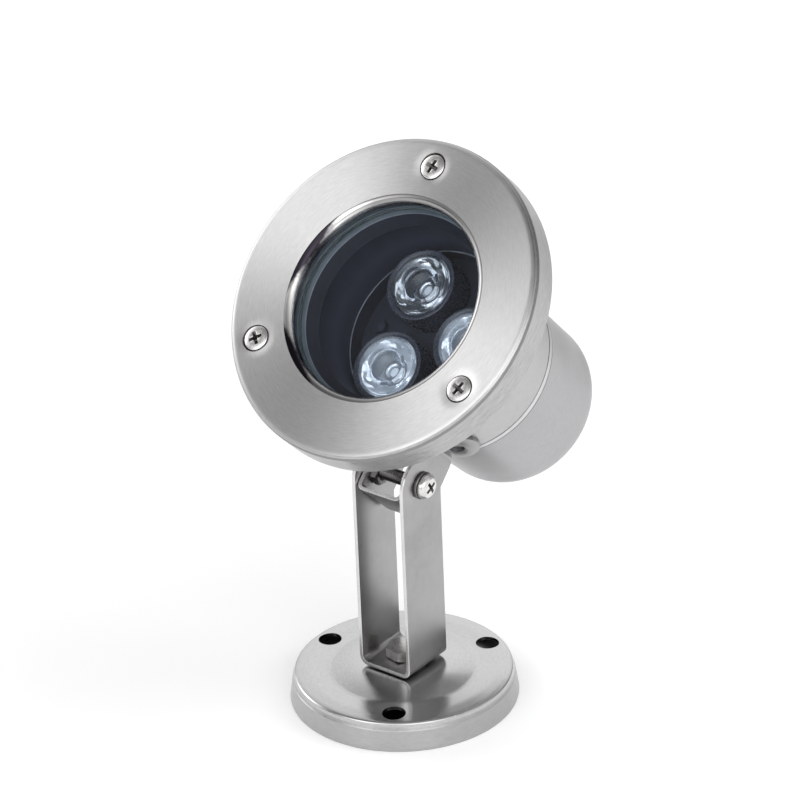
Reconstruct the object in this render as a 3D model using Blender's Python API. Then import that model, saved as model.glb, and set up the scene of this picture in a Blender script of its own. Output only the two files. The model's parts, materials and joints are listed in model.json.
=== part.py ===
"""Stainless-steel underwater pond light: a three-LED spotlight held by a yoke that swivels on a round base.

The origin is the centre of the base's underside, with +Z up. The lamp aims towards -Y, tilted up, and tips
about a screw that lies along X. Sizes are in millimetres and are turned into metres where a mesh is made.
"""

import math

import bmesh
import bpy

MM = 0.001
FIT = 0.1  # gap between pieces that touch

# Base: a drawn cup that stands on its rim.
BASE_RADIUS = 38.0
BASE_SHOULDER_RADIUS = 36.3
BASE_HEIGHT = 10.4
BASE_WALL = 1.2
BASE_SHOULDER_ROUND = 1.1
BASE_WAIST_HEIGHT = 7.4
BASE_FLARE_HEIGHT = 4.2
BASE_FLARE_INSET = 0.9
DOME_RADIUS = 24.2
DOME_FLAT_RADIUS = 13.0
DOME_RISE = 1.7
MOUNT_HOLE_RADIUS = 3.9
MOUNT_CIRCLE_RADIUS = 30.5
MOUNT_FIRST_ANGLE = 61.3

# Swivel bolt, M6, through the yoke's foot and the base.
BOLT_RADIUS = 3.0
BOLT_HEAD_FLATS = 10.0
BOLT_HEAD_HEIGHT = 4.0
BOLT_END_HEIGHT = 1.2
BOLT_TURN = 20.0
SWIVEL_NUT_THICKNESS = 5.0
SWIVEL_WASHER_RADIUS = 5.2
SWIVEL_WASHER_THICKNESS = 1.4
FOOT_WASHER_RADIUS = 8.0
FOOT_WASHER_THICKNESS = 0.4

# Yoke: one strip folded to a U.
STRIP_WIDTH = 20.0
YOKE_WIDTH = 20.7
YOKE_THICKNESS = 1.3
YOKE_BEND_RADIUS = 3.2
PIVOT_HEIGHT = 81.7

# Pivot screw, M5, along X.
PIVOT_RADIUS = 2.4
PIVOT_BORE_RADIUS = 2.5
PIVOT_HEAD_RADIUS = 4.2
PIVOT_HEAD_HEIGHT = 2.8
PIVOT_TIP_CHAMFER = 0.5
PIVOT_TIP_PAST_NUT = 1.3
PIVOT_WASHER_RADIUS = 4.6
PIVOT_RECESS_REACH = 2.3
PIVOT_RECESS_WIDTH = 1.1
PIVOT_NUT_FLATS = 8.0
PIVOT_NUT_THICKNESS = 4.0
JAM_NUT_THICKNESS = 2.7
LOCK_WASHER_THICKNESS = 1.1

# Lamp: everything that tips. Depth is measured back from the front plane of the face ring.
REST_TILT = 45.0
AXIS_ABOVE_PIVOT = 44.7
FACE_AHEAD_OF_PIVOT = 50.2
RING_RADIUS = 55.0
RING_DEPTH = 11.5
RING_WALL = 1.5
RING_EDGE_RADIUS = 2.2
RING_DISH = 0.9
OPENING_RADIUS = 33.2
LIP_DEPTH = 4.6
LIP_RADIUS = 2.4
FACE_SCREW_CIRCLE = 45.7
FACE_SCREW_FIRST_ANGLE = 93.4
FACE_SCREW_HEAD_RADIUS = 4.2
FACE_SCREW_RADIUS = 1.9
FACE_SCREW_TOP = 0.15
FACE_SCREW_END = 16.5
FACE_RECESS_REACH = 2.4
FACE_RECESS_WIDTH = 1.0
FACE_RECESS_DEPTH = 1.9
FACE_RECESS_TURN = 25.0
FLANGE_NUT_FLATS = 7.0
FLANGE_NUT_THICKNESS = 3.2
GLASS_RADIUS = 39.0
GLASS_THICKNESS = 3.5
GLASS_BEVEL = 0.5
SEAL_THICKNESS = 1.2
REAR_SEAL_BORE_RADIUS = 34.4
FLANGE_RADIUS = 52.5
FLANGE_WALL = 1.4
MOUTH_RADIUS = 33.6
MOUTH_CONE_LENGTH = 5.0
SLEEVE_RADIUS = 31.2
SLEEVE_WALL = 1.2
SLEEVE_END = 62.0
SLEEVE_END_CHAMFER = 0.5
CUP_RADIUS = 29.9
CUP_END_RADIUS = 28.9
CUP_WALL = 1.2
CUP_CORNER_RADIUS = 12.0
CUP_END = 106.0
CUP_OVERLAP = 8.0

# Bracket under the sleeve: a strip folded to a U with two round feet.
BRACKET_WIDTH = 19.0
BRACKET_DEPTH = 54.3
BRACKET_THICKNESS = 1.2
BRACKET_EAR_X = 8.1
BRACKET_WEB_BELOW_PIVOT = 8.2
BRACKET_BEND_RADIUS = 1.8
FOOT_WIDTH = 15.0
FOOT_ARC = 23.0
FOOT_HOLE_RADIUS = 2.6
FOOT_SPREAD_LENGTH = 3.0

# Optics and electronics.
OPTIC_CIRCLE_RADIUS = 16.8
OPTIC_FIRST_ANGLE = 122.0
OPTIC_FRONT = 31.8
HOLDER_RADIUS = 12.4
HOLDER_HEIGHT = 11.6
HOLDER_WALL = 1.8
LENS_RADIUS = 10.4
LENS_BASE_RADIUS = 5.0
LED_RADIUS = 3.2
LED_HEIGHT = 2.6
SPACER_RING_RADIUS = 29.85
SPACER_RING_WALL = 0.5
SPACER_RING_FRONT = 36.6
BOARD_RADIUS = 29.6
BOARD_THICKNESS = 1.6
HEAT_SINK_RADIUS = 29.6
HEAT_SINK_THICKNESS = 7.0
HEAT_SINK_STEP = 2.6
HEAT_SINK_STEP_DEPTH = 1.5
BOARD_SCREW_CIRCLE = 23.8
BOARD_SCREW_RADIUS = 1.5
BOARD_SCREW_HEAD_RADIUS = 2.7
BOARD_SCREW_HEAD_HEIGHT = 1.9
BOARD_SCREW_GRIP = 4.0
DRIVER_RADIUS = 22.0
DRIVER_DEPTH = 66.0
PILLAR_CIRCLE = 17.0
PILLAR_RADIUS = 2.4
PILLAR_TIP = 1.0
COIL_RADIUS = 6.0
COIL_BORE_RADIUS = 2.4
COIL_HEIGHT = 5.0
COIL_PLACE = (-5.0, 7.0, 0.0)
CAPACITOR_RADIUS = 4.0
CAPACITOR_HEIGHT = 9.5
CAPACITOR_PLACE = (7.0, -8.0, 0.0)

# Cable gland in the centre of the cup's end.
GLAND_THREAD_RADIUS = 5.0
GLAND_BORE_RADIUS = 3.1
GLAND_SEAL_RADIUS = 4.1
GLAND_COLLAR_RADIUS = 6.8
GLAND_COLLAR_THICKNESS = 2.2
GLAND_WASHER_THICKNESS = 0.8
GLAND_NECK_LENGTH = 5.0
GLAND_CAP_LENGTH = 8.5
GLAND_LOCK_NUT_THICKNESS = 3.0
GLAND_FLATS = 13.0

LARGE = 48  # sides of the large round pieces
MEDIUM = 24
SMALL = 16
HEX_SIDES = 12  # corners and mid-flats of a hexagon
HEX_CHAMFER = 0.35
CUT_PAST = 2.0  # how far a cutter reaches past what it cuts

STEEL = (0.62, 0.61, 0.60)
MATERIALS = {
    "brushed_steel": (STEEL, 0.32, 1.0),
    "polished_steel": ((0.70, 0.69, 0.68), 0.14, 1.0),
    "screw_steel": ((0.66, 0.65, 0.63), 0.22, 1.0),
    "aluminium": ((0.75, 0.76, 0.77), 0.40, 1.0),
    "brass": ((0.78, 0.62, 0.34), 0.30, 1.0),
    "clear_glass": ((0.86, 0.93, 0.91), 0.03, 0.0),
    "clear_optic": ((0.90, 0.93, 0.96), 0.05, 0.0),
    "black_plastic": ((0.03, 0.03, 0.035), 0.45, 0.0),
    "grey_rubber": ((0.28, 0.31, 0.32), 0.65, 0.0),
    "black_rubber": ((0.02, 0.02, 0.02), 0.70, 0.0),
    "green_board": ((0.05, 0.25, 0.12), 0.45, 0.0),
    "led_yellow": ((0.85, 0.72, 0.25), 0.35, 0.0),
}


# ---------------------------------------------------------------- scene and materials


def clear_scene():
    for obj in list(bpy.data.objects):
        bpy.data.objects.remove(obj, do_unlink=True)


def make_materials():
    for name, (colour, roughness, metallic) in MATERIALS.items():
        material = bpy.data.materials.new(name)
        material.use_nodes = True
        shader = material.node_tree.nodes["Principled BSDF"]
        shader.inputs["Base Color"].default_value = (*colour, 1.0)
        shader.inputs["Roughness"].default_value = roughness
        shader.inputs["Metallic"].default_value = metallic


def add_frame(name, parent=None, location=(0, 0, 0), tip=0.0):
    """An empty that carries pieces: its location in millimetres and its turn about X in degrees."""
    frame = bpy.data.objects.new(name, None)
    bpy.context.scene.collection.objects.link(frame)
    frame.parent = parent
    frame.location = [value * MM for value in location]
    frame.rotation_euler[0] = math.radians(tip)
    return frame


def add_piece(name, mesh, material, parent, location=(0, 0, 0), turn=(0, 0, 0)):
    """An object for one solid: its location in millimetres and its turns about X, Y and Z in degrees."""
    mesh.materials.append(bpy.data.materials[material])
    piece = bpy.data.objects.new(name, mesh)
    bpy.context.scene.collection.objects.link(piece)
    piece.parent = parent
    piece.location = [value * MM for value in location]
    piece.rotation_euler = [math.radians(value) for value in turn]
    return piece


def cut(piece, cutter_mesh, parent=None, location=(0, 0, 0), turn=(0, 0, 0)):
    """Takes the cutter's shape out of the piece."""
    cutter = bpy.data.objects.new(piece.name + "_cutter", cutter_mesh)
    bpy.context.scene.collection.objects.link(cutter)
    cutter.parent = parent
    cutter.location = [value * MM for value in location]
    cutter.rotation_euler = [math.radians(value) for value in turn]
    cutter.hide_render = True
    cutter.display_type = "WIRE"
    modifier = piece.modifiers.new("cut", "BOOLEAN")
    modifier.operation = "DIFFERENCE"
    modifier.solver = "EXACT"
    modifier.object = cutter


# ---------------------------------------------------------------- meshes


def finish_mesh(bm, name, smooth_angle=35.0):
    """Closes a bmesh in millimetres into a mesh in metres, facing out, with round faces shaded smooth."""
    bmesh.ops.scale(bm, vec=(MM, MM, MM), verts=bm.verts)
    bmesh.ops.recalc_face_normals(bm, faces=bm.faces)
    for face in bm.faces:
        face.smooth = True
    mesh = bpy.data.meshes.new(name)
    bm.to_mesh(mesh)
    bm.free()
    mesh.set_sharp_from_angle(angle=math.radians(smooth_angle))
    return mesh


def turned_loops(bm, profile, sides, centre, radius_at=None):
    """One loop of points for each (radius, height) of the profile, or a single point on the axis."""
    loops = []
    for radius, height in profile:
        if radius == 0:
            loops.append([bm.verts.new((centre[0], centre[1], height))])
            continue
        loop = []
        for side in range(sides):
            angle = 2 * math.pi * side / sides
            reach = radius if radius_at is None else radius_at(radius, angle)
            x = centre[0] + reach * math.cos(angle)
            y = centre[1] + reach * math.sin(angle)
            loop.append(bm.verts.new((x, y, height)))
        loops.append(loop)
    return loops


def skin_loops(bm, loops, closed):
    """Faces between each loop and the next, and from the last to the first on a closed profile."""
    pairs = list(zip(loops, loops[1:]))
    if closed:
        pairs.append((loops[-1], loops[0]))
    for first, second in pairs:
        count = max(len(first), len(second))
        for side in range(count):
            after = (side + 1) % count
            corners = [first[side % len(first)], first[after % len(first)]]
            corners += [second[after % len(second)], second[side % len(second)]]
            unique = list(dict.fromkeys(corners))
            if len(unique) > 2:
                bm.faces.new(unique)


def turned(name, profile, sides, centres=((0, 0),)):
    """A solid of revolution about Z: a profile that neither starts nor ends on the axis makes a ring."""
    bm = bmesh.new()
    on_axis = profile[0][0] == 0 and profile[-1][0] == 0
    for centre in centres:
        skin_loops(bm, turned_loops(bm, profile, sides, centre), closed=not on_axis)
    return finish_mesh(bm, name)


def tube_profile(inner, outer, low, high):
    return [(inner, low), (outer, low), (outer, high), (inner, high)]


def disc_profile(radius, low, high):
    return [(0, low), (radius, low), (radius, high), (0, high)]


def arc(centre, radius, start, end, steps):
    """Points of an arc in a profile, from one angle to another in degrees, both ends counted."""
    points = []
    for step in range(steps + 1):
        angle = math.radians(start + (end - start) * step / steps)
        points.append((centre[0] + radius * math.cos(angle), centre[1] + radius * math.sin(angle)))
    return points


def hexagonal(name, across_flats, low, high, bore=0.0, shank=None):
    """A hexagon along Z with chamfered ends: a nut with a bore, or a bolt head over a round shank."""
    flat_radius = across_flats / 2

    def reach(radius, angle):
        if radius != flat_radius:
            return radius
        off_flat = (angle + math.pi / 6) % (math.pi / 3) - math.pi / 6
        return flat_radius / math.cos(off_flat)

    crown = flat_radius - 0.05
    outline = [(crown, low), (flat_radius, low + HEX_CHAMFER)]
    outline += [(flat_radius, high - HEX_CHAMFER), (crown, high)]
    bm = bmesh.new()
    if bore:
        profile = [(bore, low), *outline, (bore, high)]
    elif shank:
        radius, end = shank
        profile = [(0, end), (radius - 0.4, end), (radius, end + 0.4), (radius, low), *outline, (0, high)]
    skin_loops(bm, turned_loops(bm, profile, HEX_SIDES, (0, 0), reach), closed=bool(bore))
    return finish_mesh(bm, name)


def cross_recess(name, reach, width, low, high, centres=((0, 0),)):
    """Cutter for a cross-head driver: a plus shape that narrows as it goes down."""
    bm = bmesh.new()
    half = width / 2
    outline = [(reach, -half), (reach, half), (half, half), (half, reach), (-half, reach), (-half, half)]
    outline += [(-x, -y) for x, y in outline]
    for centre in centres:
        loops = []
        for height, scale in ((low, 0.6), (high, 1.0)):
            loop = []
            for x, y in outline:
                loop.append(bm.verts.new((centre[0] + x * scale, centre[1] + y * scale, height)))
            loops.append(loop)
        skin_loops(bm, loops, closed=False)
        bm.faces.new(loops[0])
        bm.faces.new(loops[1])
    return finish_mesh(bm, name)


def around(radius, first_angle, count=3):
    """Points spaced round a circle, seen from behind the lamp or above the base."""
    points = []
    for index in range(count):
        angle = math.radians(first_angle + 360 * index / count)
        points.append((radius * math.cos(angle), radius * math.sin(angle)))
    return points


def around_lamp(radius, first_angle, count=3):
    """The same in the lamp's frame, where +Y points down: the angle is counted from +X upwards."""
    return [(x, -y) for x, y in around(radius, first_angle, count)]


# ---------------------------------------------------------------- folded strips


def fold_path(start, heading, moves):
    """Samples the centre line of a folded strip: (distance, x, y, heading in degrees) at each step.

    A move is (length,) for a straight part or (turn in degrees, radius) for a bend, positive to the left.
    """
    x, y = start
    distance = 0.0
    samples = [(distance, x, y, heading)]
    for move in moves:
        if len(move) == 1:
            steps, length, turn = 1, move[0], 0.0
        else:
            steps = max(3, round(abs(move[0]) / 15))
            length, turn = math.radians(abs(move[0])) * move[1], move[0]
        for _ in range(steps):
            middle = math.radians(heading + turn / steps / 2)
            half_turn = math.radians(turn / steps / 2)
            chord = length / steps * (math.sin(half_turn) / half_turn if turn else 1.0)
            x, y = x + chord * math.cos(middle), y + chord * math.sin(middle)
            heading += turn / steps
            distance += length / steps
            samples.append((distance, x, y, heading))
    return samples


def with_end_samples(samples, distances):
    """Adds samples at these distances from both ends, between the ones that are there."""
    total = samples[-1][0]
    wanted = sorted({*distances, *(total - distance for distance in distances)})
    added = []
    for before, after in zip(samples, samples[1:]):
        for distance in wanted:
            if before[0] + 0.05 < distance < after[0] - 0.05:
                share = (distance - before[0]) / (after[0] - before[0])
                added.append(tuple(low + (high - low) * share for low, high in zip(before, after)))
    return sorted(samples + added)


def folded_strip(name, samples, thickness, width_at):
    """A strip of sheet along the samples in the XY plane, its width along Z given by the distance run."""
    bm = bmesh.new()
    loops = []
    for distance, x, y, heading in samples:
        side = math.radians(heading + 90)
        across = (math.cos(side) * thickness / 2, math.sin(side) * thickness / 2)
        half_width = width_at(distance) / 2
        corners = ((1, half_width), (1, -half_width), (-1, -half_width), (-1, half_width))
        loop = []
        for sign, z in corners:
            loop.append(bm.verts.new((x + across[0] * sign, y + across[1] * sign, z)))
        loops.append(loop)
    skin_loops(bm, loops, closed=False)
    bm.faces.new(loops[0])
    bm.faces.new(loops[-1])
    return finish_mesh(bm, name)


def round_end_distances(radius):
    """Distances from a strip's end at which a round end is sampled."""
    return [radius * (1 - math.cos(math.radians(angle))) for angle in (15, 30, 45, 60, 75, 90)]


def round_end_width(distance, radius, full_width):
    """Width of a strip this far from an end that is rounded to the radius."""
    if distance >= radius:
        return full_width
    return full_width - 2 * radius + 2 * math.sqrt(max(radius**2 - (radius - distance) ** 2, 0.36))


# ---------------------------------------------------------------- base and swivel


def dome_profile(drop):
    """The raised middle of the base, from its edge to its flat top, lowered by the drop."""
    points = []
    for turn in (0, 20, 45, 70, 90):
        share = math.sin(math.radians(turn))
        reach = DOME_RADIUS + (DOME_FLAT_RADIUS - DOME_RADIUS) * turn / 90
        points.append((reach, BASE_HEIGHT + DOME_RISE * share - drop))
    return points


def make_base(root):
    """Drawn cup with a flared skirt, a flat shoulder and a domed middle that carries the yoke."""
    top = BASE_HEIGHT
    shoulder = BASE_SHOULDER_ROUND
    waist = BASE_SHOULDER_RADIUS + 0.1
    flare = BASE_RADIUS - BASE_FLARE_INSET
    centre_hole = BOLT_RADIUS + FIT
    dome_top = top + DOME_RISE
    outside = [(BASE_RADIUS, 0), (BASE_RADIUS - 0.1, 0.8), (flare, BASE_FLARE_HEIGHT)]
    outside += [(waist, BASE_WAIST_HEIGHT)]
    outside += arc((BASE_SHOULDER_RADIUS - shoulder, top - shoulder), shoulder, 0, 90, 3)
    outside += dome_profile(0.0)
    inside = [(centre_hole, dome_top), (centre_hole, dome_top - BASE_WALL)]
    inside += reversed(dome_profile(BASE_WALL))
    inside += [(waist - BASE_WALL, top - BASE_WALL), (waist - BASE_WALL, BASE_WAIST_HEIGHT)]
    inside += [(flare - BASE_WALL, BASE_FLARE_HEIGHT), (BASE_RADIUS - BASE_WALL, 0)]
    base = add_piece("base_plate", turned("base_plate", outside + inside, LARGE), "polished_steel", root)
    hole = disc_profile(MOUNT_HOLE_RADIUS, top / 2, top * 1.5)
    centres = around(MOUNT_CIRCLE_RADIUS, MOUNT_FIRST_ANGLE)
    cut(base, turned("mount_holes", hole, SMALL, centres))


def make_swivel(root):
    """Bolt, thin foot washer, lock washer and nut that let the yoke turn on the base."""
    hole = BOLT_RADIUS + FIT
    dome_top = BASE_HEIGHT + DOME_RISE
    turn = (0, 0, BOLT_TURN)
    foot_washer = tube_profile(hole, FOOT_WASHER_RADIUS, 0, FOOT_WASHER_THICKNESS)
    foot_washer = turned("foot_washer", foot_washer, MEDIUM)
    add_piece("foot_washer", foot_washer, "screw_steel", root, (0, 0, dome_top + FIT))
    head_low = yoke_floor() + YOKE_THICKNESS + FIT
    head_high = head_low + BOLT_HEAD_HEIGHT
    shank = (BOLT_RADIUS, BOLT_END_HEIGHT)
    bolt = hexagonal("swivel_bolt", BOLT_HEAD_FLATS, head_low, head_high, shank=shank)
    add_piece("swivel_bolt", bolt, "screw_steel", root, turn=turn)
    washer_high = dome_top - BASE_WALL - FIT
    washer_low = washer_high - SWIVEL_WASHER_THICKNESS
    washer = tube_profile(hole, SWIVEL_WASHER_RADIUS, washer_low, washer_high)
    add_piece("swivel_lock_washer", turned("swivel_lock_washer", washer, SMALL), "screw_steel", root)
    nut_high = washer_low - FIT
    nut = hexagonal("swivel_nut", BOLT_HEAD_FLATS, nut_high - SWIVEL_NUT_THICKNESS, nut_high, bore=hole)
    add_piece("swivel_nut", nut, "screw_steel", root, turn=turn)


# ---------------------------------------------------------------- yoke and pivot


def yoke_floor():
    """Height of the underside of the yoke's foot."""
    return BASE_HEIGHT + DOME_RISE + FOOT_WASHER_THICKNESS + 2 * FIT


def make_yoke(swivel_frame):
    half = (YOKE_WIDTH - YOKE_THICKNESS) / 2
    bend = YOKE_BEND_RADIUS - YOKE_THICKNESS / 2
    low = yoke_floor() + YOKE_THICKNESS / 2
    end_radius = STRIP_WIDTH / 2
    top = PIVOT_HEIGHT + end_radius
    arm = (top - low - bend,)
    foot = (2 * (half - bend),)
    samples = fold_path((-half, top), -90, [arm, (90, bend), foot, (90, bend), arm])
    total = samples[-1][0]
    samples = with_end_samples(samples, round_end_distances(end_radius))

    def width_at(distance):
        return round_end_width(min(distance, total - distance), end_radius, STRIP_WIDTH)

    mesh = folded_strip("yoke_bracket", samples, YOKE_THICKNESS, width_at)
    yoke = add_piece("yoke_bracket", mesh, "brushed_steel", swivel_frame, turn=(90, 0, 0))
    foot_hole = disc_profile(BOLT_RADIUS + FIT, low - CUT_PAST, low + CUT_PAST)
    cut(yoke, turned("yoke_foot_hole", foot_hole, SMALL))
    pivot_hole = turned("yoke_pivot_hole", disc_profile(PIVOT_RADIUS + FIT, -YOKE_WIDTH, YOKE_WIDTH), SMALL)
    cut(yoke, pivot_hole, None, (0, 0, PIVOT_HEIGHT), (0, 90, 0))


def make_pivot(swivel_frame):
    """Screw, washer and nuts along X: the head is at +X and the nut at -X."""
    arm_face = YOKE_WIDTH / 2
    bore = PIVOT_BORE_RADIUS
    along_x = (0, 90, 0)
    at_pivot = (0, 0, PIVOT_HEIGHT)

    def add(name, mesh):
        return add_piece(name, mesh, "screw_steel", swivel_frame, at_pivot, along_x)

    washer_low = arm_face + FIT
    washer_high = washer_low + LOCK_WASHER_THICKNESS
    washer = tube_profile(bore, PIVOT_WASHER_RADIUS, washer_low, washer_high)
    add("pivot_lock_washer", turned("pivot_lock_washer", washer, SMALL))
    nut_high = -arm_face - FIT
    nut_low = nut_high - PIVOT_NUT_THICKNESS
    add("pivot_nut", hexagonal("pivot_nut", PIVOT_NUT_FLATS, nut_low, nut_high, bore=bore))
    jam_low = -BRACKET_EAR_X + BRACKET_THICKNESS / 2 + FIT
    jam = hexagonal("pivot_jam_nut", PIVOT_NUT_FLATS, jam_low, jam_low + JAM_NUT_THICKNESS, bore=bore)
    add("pivot_jam_nut", jam)
    low = washer_high + FIT
    high = low + PIVOT_HEAD_HEIGHT
    tip = nut_low - PIVOT_TIP_PAST_NUT
    chamfer = PIVOT_TIP_CHAMFER
    head_radius = PIVOT_HEAD_RADIUS
    profile = [(0, tip), (PIVOT_RADIUS - chamfer, tip), (PIVOT_RADIUS, tip + chamfer), (PIVOT_RADIUS, low)]
    profile += [(head_radius, low), (head_radius, low + 1.0), (head_radius * 0.86, low + 2.0)]
    profile += [(head_radius * 0.5, low + 2.6), (0, high)]
    screw = add("pivot_screw", turned("pivot_screw", profile, SMALL))
    recess_high = high + CUT_PAST / 2
    recess = cross_recess("pivot_recess", PIVOT_RECESS_REACH, PIVOT_RECESS_WIDTH, low + 1.2, recess_high)
    cut(screw, recess, None, at_pivot, along_x)


# ---------------------------------------------------------------- lamp shell


def make_face_ring(lamp):
    """Pressed ring: a lip turned in round the glass, a dished face and a deep rolled rim."""
    wall = RING_WALL
    middle = ((OPENING_RADIUS + RING_RADIUS) / 2, RING_DISH * 0.55)
    lip_centre = (OPENING_RADIUS + LIP_RADIUS, RING_DISH + LIP_RADIUS)
    edge_centre = (RING_RADIUS - RING_EDGE_RADIUS, RING_EDGE_RADIUS)
    outside = [(OPENING_RADIUS, LIP_DEPTH)]
    outside += arc(lip_centre, LIP_RADIUS, 180, 270, 4)
    outside += [middle]
    outside += arc(edge_centre, RING_EDGE_RADIUS, 270, 360, 4)
    outside += [(RING_RADIUS, RING_DEPTH)]
    inside = [(RING_RADIUS - wall, RING_DEPTH)]
    inside += arc(edge_centre, RING_EDGE_RADIUS - wall, 360, 270, 2)
    inside += [(middle[0], middle[1] + wall)]
    inside += arc(lip_centre, LIP_RADIUS - wall, 270, 180, 2)
    inside += [(OPENING_RADIUS + wall, LIP_DEPTH)]
    ring = add_piece("face_ring", turned("face_ring", outside + inside, LARGE), "brushed_steel", lamp)
    head = FACE_SCREW_HEAD_RADIUS + FIT
    shank = FACE_SCREW_RADIUS + 2 * FIT
    seat = 0.45
    countersink = [(0, -CUT_PAST), (head + 0.5, -CUT_PAST), (head + 0.5, seat - 0.2), (head, seat)]
    countersink += [(shank, seat + head - shank), (shank, LIP_DEPTH + 1.4), (0, LIP_DEPTH + 1.4)]
    centres = around_lamp(FACE_SCREW_CIRCLE, FACE_SCREW_FIRST_ANGLE)
    cut(ring, turned("face_holes", countersink, SMALL, centres), lamp)


def make_face_screws(lamp):
    """Countersunk screws through the ring and the flange, with a nut behind each."""
    nut_low = flange_depth() + FLANGE_WALL + FIT
    nut_high = nut_low + FLANGE_NUT_THICKNESS
    rim, radius = FACE_SCREW_HEAD_RADIUS, FACE_SCREW_RADIUS
    top, end = FACE_SCREW_TOP, FACE_SCREW_END
    rim_low = top + 0.35
    profile = [(0, top), (rim - 0.5, top), (rim, rim_low), (radius, rim_low + rim - radius)]
    profile += [(radius, end), (0, end)]
    centres = around_lamp(FACE_SCREW_CIRCLE, FACE_SCREW_FIRST_ANGLE)
    for index, (x, y) in enumerate(centres):
        place = (x, y, 0)
        mesh = turned("face_screw", profile, SMALL)
        screw = add_piece(f"face_screw_{index + 1}", mesh, "screw_steel", lamp, place)
        recess = cross_recess("face_recess", FACE_RECESS_REACH, FACE_RECESS_WIDTH, -1, FACE_RECESS_DEPTH)
        cut(screw, recess, lamp, place, (0, 0, FACE_RECESS_TURN * index))
        nut = hexagonal("flange_nut", FLANGE_NUT_FLATS, nut_low, nut_high, bore=radius + FIT)
        add_piece(f"flange_nut_{index + 1}", nut, "screw_steel", lamp, place)


def glass_front():
    return LIP_DEPTH + 2 * FIT


def flange_depth():
    """Depth of the flange's front face, behind the glass and its rear seal."""
    return glass_front() + GLASS_THICKNESS + SEAL_THICKNESS + 2 * FIT


def make_glass_and_seals(lamp):
    front = glass_front()
    back = front + GLASS_THICKNESS
    bevel = GLASS_BEVEL
    glass = [(0, front), (GLASS_RADIUS - bevel, front), (GLASS_RADIUS, front + bevel)]
    glass += [(GLASS_RADIUS, back - bevel), (GLASS_RADIUS - bevel, back), (0, back)]
    add_piece("front_glass", turned("front_glass", glass, LARGE), "clear_glass", lamp)
    bore = OPENING_RADIUS + RING_WALL + 1.0
    low = RING_DISH + RING_WALL + FIT
    front_seal = tube_profile(bore, GLASS_RADIUS - 0.3, low, front - FIT)
    add_piece("front_seal", turned("front_seal", front_seal, LARGE), "grey_rubber", lamp)
    low = back + FIT
    rear_seal = tube_profile(REAR_SEAL_BORE_RADIUS, GLASS_RADIUS, low, low + SEAL_THICKNESS)
    add_piece("rear_seal", turned("rear_seal", rear_seal, LARGE), "grey_rubber", lamp)


def make_sleeve(lamp):
    """Front of the housing: a flange under the ring, a short cone and a straight tube."""
    low = flange_depth()
    high = low + FLANGE_WALL
    bore = SLEEVE_RADIUS - SLEEVE_WALL
    profile = [(FLANGE_RADIUS, low), (FLANGE_RADIUS, high), (MOUTH_RADIUS + 1.8, high)]
    profile += [(SLEEVE_RADIUS, high + MOUTH_CONE_LENGTH), (SLEEVE_RADIUS, SLEEVE_END - 1.5)]
    profile += [(SLEEVE_RADIUS - SLEEVE_END_CHAMFER, SLEEVE_END), (bore, SLEEVE_END)]
    profile += [(bore, low + MOUTH_CONE_LENGTH + 1), (MOUTH_RADIUS, low + 1), (MOUTH_RADIUS, low)]
    sleeve = add_piece("housing_sleeve", turned("housing_sleeve", profile, LARGE), "brushed_steel", lamp)
    hole = disc_profile(FACE_SCREW_RADIUS + FIT, low - CUT_PAST, high + CUT_PAST)
    centres = around_lamp(FACE_SCREW_CIRCLE, FACE_SCREW_FIRST_ANGLE)
    cut(sleeve, turned("flange_holes", hole, SMALL, centres), lamp)


def make_rear_cup(lamp):
    """Rear of the housing: a drawn cup pushed into the sleeve, slightly tapered, with a well-rounded end."""
    start = SLEEVE_END - CUP_OVERLAP
    inserted = SLEEVE_RADIUS - SLEEVE_WALL - FIT
    corner = CUP_CORNER_RADIUS
    hub = CUP_END_RADIUS - corner
    outside = [(inserted, start), (inserted, SLEEVE_END), (CUP_RADIUS - FIT, SLEEVE_END + 0.5)]
    outside += arc((hub, CUP_END - corner), corner, 0, 90, 5)
    outside += [(GLAND_THREAD_RADIUS + FIT, CUP_END)]
    inside = [(GLAND_THREAD_RADIUS + FIT, CUP_END - CUP_WALL)]
    inside += arc((hub, CUP_END - corner), corner - CUP_WALL, 90, 0, 3)
    inside += [(CUP_RADIUS - FIT - CUP_WALL, SLEEVE_END), (inserted - CUP_WALL, start)]
    add_piece("rear_cup", turned("rear_cup", outside + inside, LARGE), "brushed_steel", lamp)


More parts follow.
